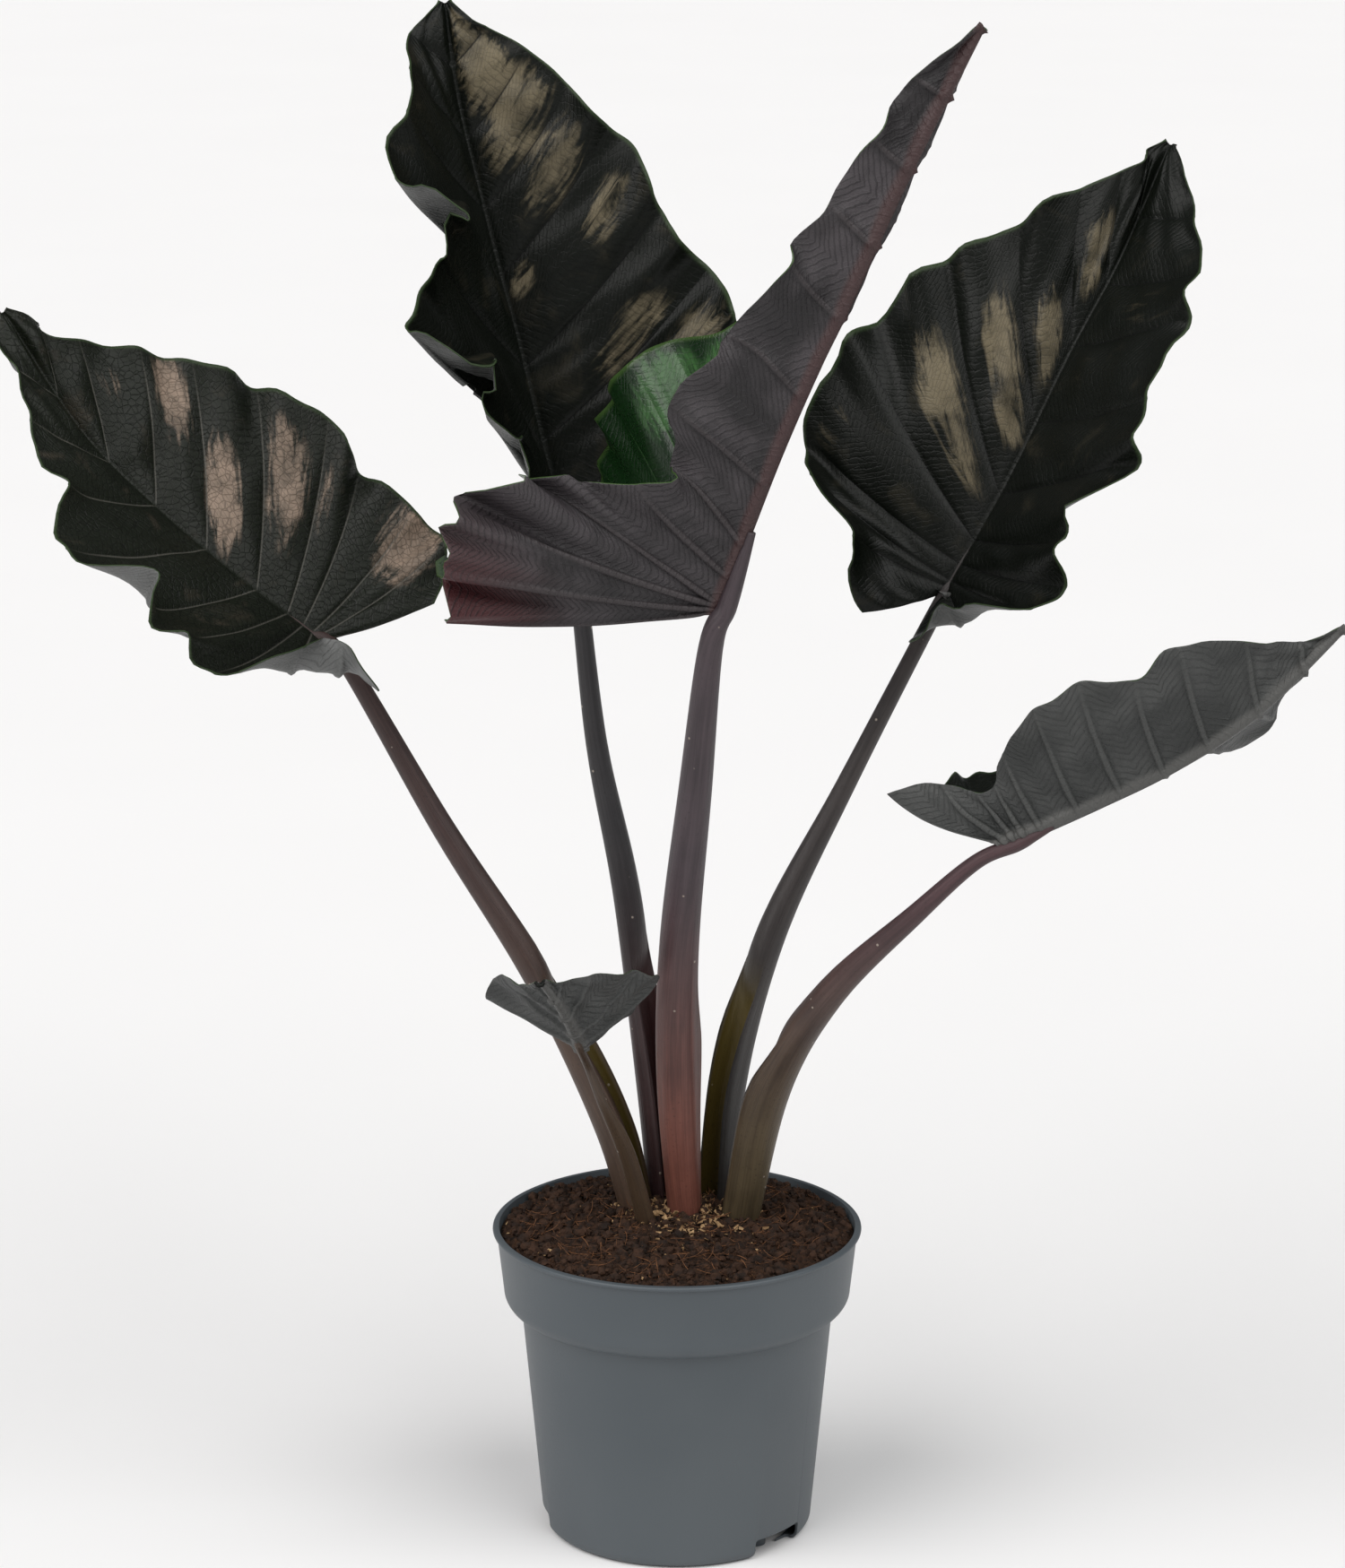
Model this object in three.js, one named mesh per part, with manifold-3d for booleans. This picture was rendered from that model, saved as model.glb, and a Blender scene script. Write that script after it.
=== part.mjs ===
// A potted alocasia: six arrow-shaped leaves on long stalks, rising from one corm in a soil-filled
// nursery pot. Millimetres, +Z up. The origin is the middle of the pot's resting face, and -Y is the
// front. Every piece is a closed solid, and pieces that touch keep a gap of FIT.
import * as THREE from "three";
import { mergeVertices } from "three/addons/utils/BufferGeometryUtils.js";
import Module from "manifold-3d";

const FIT = 0.3;

// Pot: a tapered body under a wider collar with a rounded lip. The wall curls in at the bottom to a
// narrow ring that it stands on, round a raised floor.
const POT = {
  height: 145,
  lipOverhang: 1.6, // how far the lip stands out from the collar
  lipHeight: 2.2,
  collarHeight: 30, // from the lip's top down to where the collar turns in
  collarTaper: 3.4,
  coveRadius: 8, // quarter round under the collar
  bodyTopRadius: 72,
  baseRadius: 62, // where the side's slope would meet the ground
  baseRound: 5,
  standingRing: 3, // width of the ring it stands on
  wall: 1.3,
  floorHeight: 7, // how far the floor is raised above the resting face
  floorThickness: 2,
  bossRadius: 16, // flat pad in the middle that meets the ground
  bossDraft: 1.5,
  sides: 48,
};
// Drainage notches in the skirt, as degrees round from the front towards the right, and a short foot
// under the floor behind each.
const NOTCH = { places: [49, 164, 275], width: 30, height: 9.6, footRadius: 5, footSetback: 7 };

const SOIL = { drop: 4, mound: 5, clearance: FIT, rings: [0.8, 0.55, 0.3, 0] };

// How far the plant's own ground level lies under the soil's edge level.
const PLANTED = 1;

// The corm stands in the soil with its flat crown just proud of the mound. Its sides are given as
// shares of the radius and of the depth, from the root end up.
const CORM = {
  centre: [4, 19],
  radius: 35,
  depth: 45,
  crown: 0.8,
  sides: [[0, 1], [0.45, 0.92], [0.8, 0.6], [1, 0.2]],
};

// Leaf blades.
const BLADE = { ribThickness: 3.2, edgeThickness: 0.9, stepsPerRib: 2, stepsAcross: 5 };
const RIB = { arc: 14, rollStart: 0.35, rollLength: 0.6, steps: 30 };
const STALK = { sides: 10, steps: 12, lap: 22, reach: 1, clearance: 1 };

// The leaves. Points are from the middle of the plant's ground level. A leaf's face is the way its upper
// side looks, at the base and at the tip. Its cup is the turn that every rib adds towards its end. A
// rib is [place along the midrib, left side, right side], from the lobes to the tip, and each side is
// [length, sweep from the tip's direction, lift towards the face, roll of the outer part], in
// millimetres and degrees. A stalk is its foot on the corm, the points it passes, and its radii.
const LEAVES = {
  left: {
    midrib: [[-168, 70, 269], [-204, 80, 295], [-241, 92, 324], [-275, 102, 357], [-311, 112, 411]],
    face: [[0.3, -0.75, 0.55], [0.35, -0.8, 0.5]],
    cup: 8,
    ribs: [
      [-0.03, [45, 160, 22, 0], [54, 125, 12, 0]],
      [-0.015, [50, 140, 18, 125], [73, 106, 12, 0]],
      [0, [55, 100, 14, 110], [77, 90, 6, 0]],
      [0.03, [73, 81, 20, 10], [84, 71, 4, 0]],
      [0.08, [92, 70, 25, 20], [100, 63, 2, 0]],
      [0.18, [100, 62, 15, 67], [105, 52, 0, 0]],
      [0.34, [92, 63, 25, 10], [95, 45, 0, 0]],
      [0.5, [62, 55, 25, 10], [79, 41, 0, 0]],
      [0.66, [46, 33, 20, 0], [60, 29, 0, 0]],
      [0.83, [31, 31, 15, 0], [33, 19, 0, 0]],
      [1, [2, 60, 0, 0], [2, 60, 0, 0]],
    ],
    foot: [-17, 22],
    stalk: [[-31, 27, 46], [-64, 38, 112], [-108, 54, 179]],
    radii: [7, 8.5, 7, 5.5, 4, 3.6],
  },
  back: {
    midrib: [[-50, 60, 315], [-69, 72, 392], [-86, 82, 458], [-99, 92, 512], [-105, 100, 554]],
    face: [[0.05, -0.93, 0.33], [0.05, -0.95, 0.3]],
    cup: 8,
    ribs: [
      [-0.03, [21, 126, 30, 0], [27, 139, 10, 0]],
      [-0.015, [24, 75, 30, 0], [57, 116, 10, 0]],
      [0, [44, 30, 30, 20], [77, 91, 8, 0]],
      [0.02, [66, 14, 25, 54], [98, 74, 5, 0]],
      [0.05, [86, 25, 32, 30], [110, 66, 5, 0]],
      [0.09, [105, 13, 20, 80], [115, 58, 5, 0]],
      [0.14, [105, 38, 32, 20], [110, 57, 5, 0]],
      [0.19, [90, 35, 32, 0], [101, 54, 5, 0]],
      [0.25, [89, 26, 30, 20], [96, 54, 5, 0]],
      [0.32, [95, 9, 20, 72], [96, 50, 5, 0]],
      [0.4, [89, 34, 30, 20], [84, 50, 5, 0]],
      [0.52, [69, 27, 30, 0], [68, 48, 5, 0]],
      [0.66, [47, 27, 25, 0], [49, 47, 5, 0]],
      [0.83, [26, 46, 20, 0], [23, 48, 5, 0]],
      [1, [2, 60, 0, 0], [2, 60, 0, 0]],
    ],
    foot: [-5, 34],
    stalk: [[-12, 38, 60], [-23, 45, 149], [-37, 52, 220]],
    radii: [7.5, 7, 6.5, 5, 4, 3.6],
  },
  right: {
    midrib: [[125, 62, 295], [152, 75, 341], [179, 88, 395], [203, 98, 439], [225, 108, 489]],
    face: [[-0.3, -0.78, 0.5], [-0.35, -0.8, 0.5]],
    cup: 8,
    ribs: [
      [-0.03, [38, 136, 12, 0], [32, 172, 22, 0]],
      [-0.015, [62, 90, 12, 90], [45, 120, 16, 125]],
      [0, [81, 81, 10, 0], [67, 87, 25, 10]],
      [0.04, [99, 79, 5, 0], [73, 81, 25, 0]],
      [0.1, [114, 58, 5, 0], [76, 75, 30, 20]],
      [0.21, [115, 40, 5, 0], [95, 62, 30, 0]],
      [0.36, [93, 29, 5, 0], [85, 68, 30, 0]],
      [0.52, [74, 23, 5, 0], [80, 64, 30, 0]],
      [0.68, [53, 18, 5, 0], [65, 69, 25, 0]],
      [0.84, [28, 12, 5, 0], [35, 75, 20, 0]],
      [1, [2, 60, 0, 0], [2, 60, 0, 0]],
    ],
    foot: [18, 32],
    stalk: [[25, 34, 66], [44, 42, 133], [77, 52, 199]],
    radii: [8.2, 8, 7, 4.6, 3.6, 3.4],
  },
  front: {
    midrib: [[17, -45, 309], [45, -52, 383], [73, -54, 445], [98, -50, 499], [129, -36, 558]],
    face: [[-0.85, 0.35, 0.4], [-0.8, 0.45, 0.35]],
    cup: 10,
    ribs: [
      [-0.016, [70, 125, 48, 0], [118, 121, 46, 0]],
      [-0.011, [90, 105, 48, 0], [127, 99, 46, 0]],
      [-0.005, [112, 77, 50, 0], [130, 81, 46, 0]],
      [0, [117, 41, 50, 0], [103, 58, 46, 0]],
      [0.04, [110, 28, 47, 0], [64, 50, 42, 0]],
      [0.09, [103, 35, 41, 0], [45, 36, 38, 0]],
      [0.18, [75, 31, 40, 0], [55, 52, 45, 20]],
      [0.32, [60, 40, 25, 0], [42, 46, 45, 8]],
      [0.46, [44, 44, 5, 0], [36, 55, 45, 0]],
      [0.6, [25, 45, 0, 0], [27, 56, 45, 0]],
      [0.75, [22, 50, 0, 0], [22, 70, 45, 0]],
      [0.88, [14, 60, 5, 0], [16, 85, 45, 0]],
      [1, [2, 60, 0, 0], [2, 60, 0, 0]],
    ],
    foot: [4, 11],
    stalk: [[0, 2, 76], [1, -12, 144], [8, -30, 220]],
    radii: [7.2, 9.5, 9, 7.5, 5.5, 4.5],
  },
  low_right: {
    midrib: [[148, -62, 207], [184, -68, 225], [217, -70, 242], [252, -66, 265], [290, -52, 299]],
    face: [[-0.38, 0.66, 0.65], [-0.4, 0.6, 0.6]],
    cup: 10,
    ribs: [
      [-0.04, [50, 150, 55, 0], [56, 158, 30, 20]],
      [-0.02, [55, 125, 55, 0], [39, 136, 40, 20]],
      [0, [55, 105, 55, 0], [26, 120, 55, 0]],
      [0.03, [55, 92, 55, 0], [25, 102, 50, 0]],
      [0.08, [55, 85, 55, 0], [38, 91, 40, 0]],
      [0.19, [55, 78, 50, 0], [56, 83, 30, 0]],
      [0.32, [52, 75, 40, 0], [59, 83, 25, 0]],
      [0.46, [48, 72, 25, 0], [52, 79, 25, 0]],
      [0.6, [42, 75, 10, 0], [53, 75, 25, 0]],
      [0.75, [34, 75, 8, 0], [34, 62, 25, 0]],
      [0.88, [18, 75, 10, 0], [12, 40, 25, 0]],
      [1, [2, 60, 0, 0], [2, 60, 0, 0]],
    ],
    foot: [28, 12],
    stalk: [[43, -5, 72], [68, -32, 125], [105, -54, 169]],
    radii: [8.2, 9, 7, 4.5, 3.4, 3.2],
  },
  small: {
    midrib: [[-44, -40, 105], [-48, -54, 119], [-53, -68, 133], [-60, -84, 148]],
    face: [[0, 0.75, 0.65], [0, 0.85, 0.5]],
    cup: 15,
    ribs: [
      [-0.06, [30, 140, 38, 0], [30, 140, 38, 0]],
      [-0.03, [36, 105, 34, 0], [40, 105, 34, 0]],
      [0, [48, 95, 30, 0], [52, 92, 30, 0]],
      [0.15, [40, 73, 28, 0], [43, 62, 28, 0]],
      [0.42, [25, 42, 15, 0], [27, 41, 15, 0]],
      [0.72, [10, 35, 10, 0], [14, 34, 10, 0]],
      [1, [2, 60, 0, 0], [2, 60, 0, 0]],
    ],
    foot: [-12, 1],
    stalk: [[-23, -10, 41], [-34, -25, 73]],
    radii: [4, 3.6, 2.6, 2, 1.8],
  },
};

const MATERIALS = {
  pot: new THREE.MeshStandardMaterial({ color: 0x59626a, roughness: 0.55, metalness: 0 }),
  soil: new THREE.MeshStandardMaterial({ color: 0x2e221b, roughness: 1, metalness: 0 }),
  corm: new THREE.MeshStandardMaterial({ color: 0x6b563f, roughness: 0.9, metalness: 0 }),
  petiole: new THREE.MeshStandardMaterial({ color: 0x5a4644, roughness: 0.6, metalness: 0 }),
  blade: new THREE.MeshStandardMaterial({ color: 0x23291f, roughness: 0.45, metalness: 0 }),
};

const UP = new THREE.Vector3(0, 0, 1);
const radians = THREE.MathUtils.degToRad;
const wasm = await Module();
wasm.setup();

// A mesh's geometry as a solid, and back, with only positions kept.
function solidOf(geometry) {
  const bare = geometry.clone();
  bare.deleteAttribute("normal");
  bare.deleteAttribute("uv");
  const merged = mergeVertices(bare, 1e-4);
  const triVerts = new Uint32Array(merged.index.array);
  const vertProperties = merged.attributes.position.array;
  return new wasm.Manifold(new wasm.Mesh({ numProp: 3, vertProperties, triVerts }));
}

function geometryOf(solid) {
  const mesh = solid.getMesh();
  const geometry = new THREE.BufferGeometry();
  geometry.setAttribute("position", new THREE.BufferAttribute(mesh.vertProperties, 3));
  geometry.setIndex(new THREE.BufferAttribute(mesh.triVerts, 1));
  geometry.computeVertexNormals();
  return geometry;
}

// A shape turned about the vertical axis, from a profile of [radius, height] that runs upwards.
function turned(profile) {
  const points = profile.map(([radius, height]) => new THREE.Vector2(radius, height));
  return new THREE.LatheGeometry(points, POT.sides).rotateX(Math.PI / 2);
}

// Points on a quarter or smaller arc, from one angle to another in degrees.
function arc([x, y], radius, from, to, steps) {
  return Array.from({ length: steps + 1 }, (_, i) => {
    const angle = radians(from + ((to - from) * i) / steps);
    return [x + radius * Math.cos(angle), y + radius * Math.sin(angle)];
  });
}

const collarFoot = POT.height - POT.collarHeight;
const collarFootRadius = POT.bodyTopRadius + POT.coveRadius;
const bodyRadius = (height) =>
  POT.baseRadius + ((POT.bodyTopRadius - POT.baseRadius) * height) / (collarFoot - POT.coveRadius);

// The pot's outside from a low height to a high one, moved inwards by inset.
function potSide(inset, bottom, top) {
  const cove = arc([POT.bodyTopRadius, collarFoot], POT.coveRadius - inset, -90, 0, 4);
  const topRadius = collarFootRadius + (POT.collarTaper * (top - collarFoot)) / POT.collarHeight;
  return [
    [bodyRadius(bottom) - inset, bottom],
    [POT.bodyTopRadius - inset, cove[0][1]],
    ...cove,
    [topRadius - inset, top],
  ];
}

function potGeometry() {
  const floorTop = POT.floorHeight + POT.floorThickness;
  const lipMiddle = POT.height - POT.lipHeight / 2;
  const outside = potSide(0, POT.baseRound, POT.height - POT.lipHeight);
  const inside = potSide(POT.wall, floorTop, POT.height).reverse();
  const lipRadius = collarFootRadius + POT.collarTaper + POT.lipOverhang;
  const lip = arc([lipRadius - POT.lipHeight / 2, lipMiddle], POT.lipHeight / 2, -90, 90, 4);
  const corner = [bodyRadius(POT.baseRound) - POT.baseRound, POT.baseRound];
  const ring = corner[0] - POT.standingRing;
  const shell = solidOf(
    turned([
      [0, 0],
      [POT.bossRadius, 0],
      [POT.bossRadius + POT.bossDraft, POT.floorHeight],
      [bodyRadius(POT.floorHeight) - POT.wall, POT.floorHeight],
      ...arc(corner, POT.baseRound - POT.wall, 0, -90, 4),
      [ring, POT.wall],
      [ring, 0],
      ...arc(corner, POT.baseRound, -90, 0, 4),
      ...outside.slice(1),
      ...lip,
      ...inside,
      [0, floorTop],
    ]),
  );
  const depth = 2 * (POT.baseRound + POT.standingRing);
  const notches = NOTCH.places.map((place) => {
    const tool = new THREE.BoxGeometry(NOTCH.width, depth, NOTCH.height * 2);
    return solidOf(tool.translate(0, -POT.baseRadius, 0).rotateZ(radians(place)));
  });
  // A foot runs from the ground to the middle of the floor's thickness.
  const footHeight = POT.floorHeight + POT.floorThickness / 2;
  const feet = NOTCH.places.map((place) => {
    const foot = new THREE.CylinderGeometry(NOTCH.footRadius, NOTCH.footRadius, footHeight, 16);
    foot.rotateX(Math.PI / 2).translate(0, NOTCH.footSetback - ring, footHeight / 2);
    return solidOf(foot.rotateZ(radians(place)));
  });
  const notched = notches.reduce((body, notch) => body.subtract(notch), shell);
  return geometryOf(feet.reduce((body, foot) => body.add(foot), notched));
}

const soilLevel = POT.height - SOIL.drop;
const plantLevel = soilLevel - PLANTED;
const crownTop = PLANTED + SOIL.mound + CORM.crown;

// The corm's profile from its root end to its crown, swollen by a clearance.
function cormProfile(clearance) {
  const widest = CORM.radius + clearance;
  const deepest = CORM.depth + clearance;
  return [...CORM.sides.map(([wide, deep]) => [widest * wide, -deepest * deep]), [widest, crownTop]];
}

function cormGeometry() {
  return turned([...cormProfile(0), [0, crownTop]]).translate(...CORM.centre, 0);
}

function soilGeometry() {
  const bottom = POT.floorHeight + POT.floorThickness + FIT;
  const edge = potSide(POT.wall + SOIL.clearance, bottom, soilLevel);
  const edgeRadius = edge.at(-1)[0];
  const mound = SOIL.rings.map((share) => {
    const rise = SOIL.mound * Math.cos((share * Math.PI) / 2);
    return [edgeRadius * share, soilLevel + rise];
  });
  const filling = solidOf(turned([[0, bottom], ...edge, ...mound]));
  const above = [[CORM.radius + FIT, crownTop + SOIL.mound], [0, crownTop + SOIL.mound]];
  const pocket = turned([...cormProfile(FIT), ...above]).translate(...CORM.centre, plantLevel);
  return geometryOf(filling.subtract(solidOf(pocket)));
}

// Smooth values through a list of numbers or of equal lists, at a place counted in list steps.
function through(list, place) {
  const first = Math.min(Math.max(Math.floor(place), 0), list.length - 2);
  const t = place - first;
  const one = (p1, p2, p0 = 2 * p1 - p2, p3 = 2 * p2 - p1) =>
    0.5 * (2 * p1 + (p2 - p0) * t + (2 * p0 - 5 * p1 + 4 * p2 - p3) * t ** 2) +
    0.5 * (3 * p1 - p0 - 3 * p2 + p3) * t ** 3;
  const [before, from, to, after] = [-1, 0, 1, 2].map((step) => list[first + step]);
  if (!Array.isArray(from)) return one(from, to, before, after);
  return from.map((value, i) => one(value, to[i], before?.[i], after?.[i]));
}

const vector = (values) => new THREE.Vector3(...values);

// Where a leaf's midrib is, and which way it runs and faces, at a share of its length. A share below
// nothing is on the short stub behind the stalk's end, which the lobes grow from.
function midribAt(leaf, share) {
  const last = leaf.midrib.length - 1;
  const onRib = THREE.MathUtils.clamp(share, 0, 1);
  const near = (offset) => THREE.MathUtils.clamp(onRib + offset, 0, 1) * last;
  const position = vector(through(leaf.midrib, onRib * last));
  const along = vector(through(leaf.midrib, near(0.01)));
  along.sub(vector(through(leaf.midrib, near(-0.01)))).normalize();
  const face = vector(leaf.face[0]).lerp(vector(leaf.face[1]), onRib);
  face.addScaledVector(along, -face.dot(along)).normalize();
  if (share < 0) position.addScaledVector(along, share * midribLength(leaf));
  return { position, along, face, across: along.clone().cross(face) };
}

function midribLength({ midrib }) {
  return midrib.slice(1).reduce((sum, point, i) => sum + vector(point).distanceTo(vector(midrib[i])), 0);
}

// A point of the blade's upper side: rib counts the ribs from the lobes, and reach runs from -1 at
// the left margin over the midrib to 1 at the right one. Each rib sets off at its sweep and lift,
// and turns up by the cup all the way and by its roll in the outer part.
function bladePoint(leaf, rib, reach) {
  const share = through(leaf.ribs.map(([place]) => place), rib);
  const { position, along, face, across } = midribAt(leaf, share);
  const side = reach < 0 ? -1 : 1;
  const [length, sweep, lift, roll] = through(leaf.ribs.map((row) => row[reach < 0 ? 1 : 2]), rib);
  const steps = Math.max(1, Math.round(Math.abs(reach) * RIB.steps));
  const step = Math.abs(reach) / steps;
  for (let i = 0; i < steps; i++) {
    const out = (i + 0.5) * step;
    const turn = radians(sweep + RIB.arc * (0.5 - out));
    const rolled = THREE.MathUtils.smoothstep(out, RIB.rollStart, RIB.rollStart + RIB.rollLength);
    const rise = radians(lift + leaf.cup * out + roll * rolled);
    position.addScaledVector(along, Math.cos(rise) * Math.cos(turn) * length * step);
    position.addScaledVector(across, side * Math.cos(rise) * Math.sin(turn) * length * step);
    position.addScaledVector(face, Math.sin(rise) * length * step);
  }
  return position;
}

// Moves each vertex of a geometry to where place(x, y, z) says.
function reshaped(geometry, place) {
  const { position } = geometry.attributes;
  for (let i = 0; i < position.count; i++) {
    const { x, y, z } = place(position.getX(i), position.getY(i), position.getZ(i));
    position.setXYZ(i, x, y, z);
  }
  geometry.computeVertexNormals();
  return geometry;
}

// The blade, swollen by a clearance when it is used to trim the stalk that carries it.
function bladeGeometry(leaf, clearance = 0) {
  const lastRib = leaf.ribs.length - 1;
  const nudge = 0.02;
  const slab = new THREE.BoxGeometry(1, 1, 1, BLADE.stepsPerRib * lastRib, 2 * BLADE.stepsAcross, 1);
  return reshaped(slab, (x, y, z) => {
    const rib = (x + 0.5) * lastRib;
    const reach = THREE.MathUtils.clamp(-2 * y, -1, 1);
    const point = bladePoint(leaf, rib, reach);
    const at = (du, dv) => {
      const u = THREE.MathUtils.clamp(rib + du, 0, lastRib);
      return bladePoint(leaf, u, THREE.MathUtils.clamp(reach + dv, -1, 1));
    };
    const forward = at(nudge, 0).sub(at(-nudge, 0));
    const outward = at(0, nudge).sub(at(0, -nudge));
    const under = forward.clone().cross(outward).normalize();
    if (rib === 0) point.addScaledVector(forward.normalize(), -clearance);
    const thin = BLADE.ribThickness - BLADE.edgeThickness;
    const depth = BLADE.edgeThickness + thin * (1 - Math.abs(reach)) ** 3;
    return point.addScaledVector(under, z > 0 ? -clearance : depth + clearance);
  });
}

// A stalk from the corm's crown to its seat, where it lies close under the midrib's first stretch and
// the blade's underside trims what still reaches it.
function stalkGeometry(leaf) {
  const { position, along, face } = midribAt(leaf, 0);
  const tipRadius = leaf.radii.at(-1);
  const seat = position.addScaledVector(face, -(BLADE.ribThickness + tipRadius));
  const path = new THREE.CatmullRomCurve3(
    [
      vector([...leaf.foot, crownTop + FIT]),
      ...leaf.stalk.map(vector),
      seat.clone().addScaledVector(along, -STALK.lap),
      seat.clone().addScaledVector(along, STALK.reach),
    ],
    false,
    "catmullrom",
  );
  const rod = new THREE.CylinderGeometry(1, 1, 1, STALK.sides, STALK.steps);
  reshaped(rod, (x, y, z) => {
    const share = y + 0.5;
    const ahead = share === 0 ? UP : path.getTangent(share);
    const right = new THREE.Vector3(0, -1, 0).cross(ahead).negate().normalize();
    const back = ahead.clone().cross(right);
    const radius = through(leaf.radii, share * (leaf.radii.length - 1));
    return path
      .getPoint(share)
      .addScaledVector(right, x * radius)
      .addScaledVector(back, -z * radius);
  });
  return geometryOf(solidOf(rod).subtract(solidOf(bladeGeometry(leaf, STALK.clearance))));
}

function piece(name, geometry, material) {
  const mesh = new THREE.Mesh(geometry, material);
  mesh.name = name;
  return mesh;
}

const plant = new THREE.Group();
plant.position.z = plantLevel;
plant.add(piece("corm", cormGeometry(), MATERIALS.corm));
for (const [name, leaf] of Object.entries(LEAVES)) {
  plant.add(piece(`petiole_${name}`, stalkGeometry(leaf), MATERIALS.petiole));
  plant.add(piece(`blade_${name}`, bladeGeometry(leaf), MATERIALS.blade));
}

const group = new THREE.Group();
group.add(piece("pot", potGeometry(), MATERIALS.pot));
group.add(piece("soil", soilGeometry(), MATERIALS.soil));
group.add(plant);

export default group;
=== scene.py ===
import math

import bmesh
import bpy
import numpy as np
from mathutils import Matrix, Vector


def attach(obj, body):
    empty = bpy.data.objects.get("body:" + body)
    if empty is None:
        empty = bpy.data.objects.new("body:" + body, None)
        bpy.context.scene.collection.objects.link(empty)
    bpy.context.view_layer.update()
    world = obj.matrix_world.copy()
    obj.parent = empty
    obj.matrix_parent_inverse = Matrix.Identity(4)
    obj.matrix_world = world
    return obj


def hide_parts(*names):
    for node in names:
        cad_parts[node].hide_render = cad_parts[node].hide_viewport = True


# A potted alocasia: six ruffled leaf blades on sheathed petioles, a corm, potting soil and a nursery
# pot. Sizes are in millimetres here and are turned into metres when a piece's points are placed.
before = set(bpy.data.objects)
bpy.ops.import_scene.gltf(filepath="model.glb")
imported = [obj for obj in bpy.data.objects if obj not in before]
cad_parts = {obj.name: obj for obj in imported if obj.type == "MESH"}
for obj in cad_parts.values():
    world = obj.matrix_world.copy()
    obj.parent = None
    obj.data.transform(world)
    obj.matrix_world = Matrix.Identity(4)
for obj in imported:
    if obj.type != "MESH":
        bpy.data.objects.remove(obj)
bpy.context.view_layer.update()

MM = 0.001

POT = {
    "height": 145, "lip_overhang": 1.6, "lip_height": 2.2, "collar_height": 30, "collar_taper": 3.4,
    "cove_radius": 8, "body_top_radius": 72, "base_radius": 62, "base_round": 5, "standing_ring": 3,
    "wall": 1.3, "floor_height": 7, "floor_thickness": 2, "boss_radius": 16, "boss_draft": 1.5,
    "sides": 160,
}
NOTCH = {"places": (49, 164, 275), "width": 30, "height": 9.6, "foot_radius": 5, "foot_setback": 7}
SOIL = {"drop": 4, "mound": 5, "gap": 0.3, "cells": 230}
# How far the plant's own ground level lies under the soil's edge level.
PLANTED = 1
CORM = {"centre": (4, 19), "radius": 35, "depth": 45}
SOIL_LEVEL = POT["height"] - SOIL["drop"]
PLANT_LEVEL = SOIL_LEVEL - PLANTED

# How every rib of a blade bends: it turns towards the tip by ARC degrees, and the outer part may roll.
ARC = 14
ROLL_START, ROLL_LENGTH = 0.35, 0.6
# The waves of a margin: each has its pitch, how far it lifts the margin in degrees, and how much of
# the reach it adds or takes.
MARGIN_WAVES = ((62, 20, 0), (37, 16, 0.01), (23, 9, 0.006), (41, 0, 0.012))
# A blade's thickest place, and how much of it the skin, a rib and the midrib take up.
BLADE_DEPTH, SKIN_SHARE, RIB_SHARE, MIDRIB_SHARE = 4.5, 0.14, 0.36, 0.8
# Places between two ribs where the blade has a line of points, closer together near the ribs, and the
# number of steps from the midrib to the margin.
RIB_STEPS = (0, 0.035, 0.08, 0.15, 0.25, 0.37, 0.5, 0.63, 0.75, 0.85, 0.92, 0.965)
REACH_STEPS = 54
# A stalk's rings, and the points of a ring that go round the outside and that line the sheath.
STALK_RINGS, OUTSIDE_POINTS, LINING_POINTS = 120, 30, 22

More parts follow.
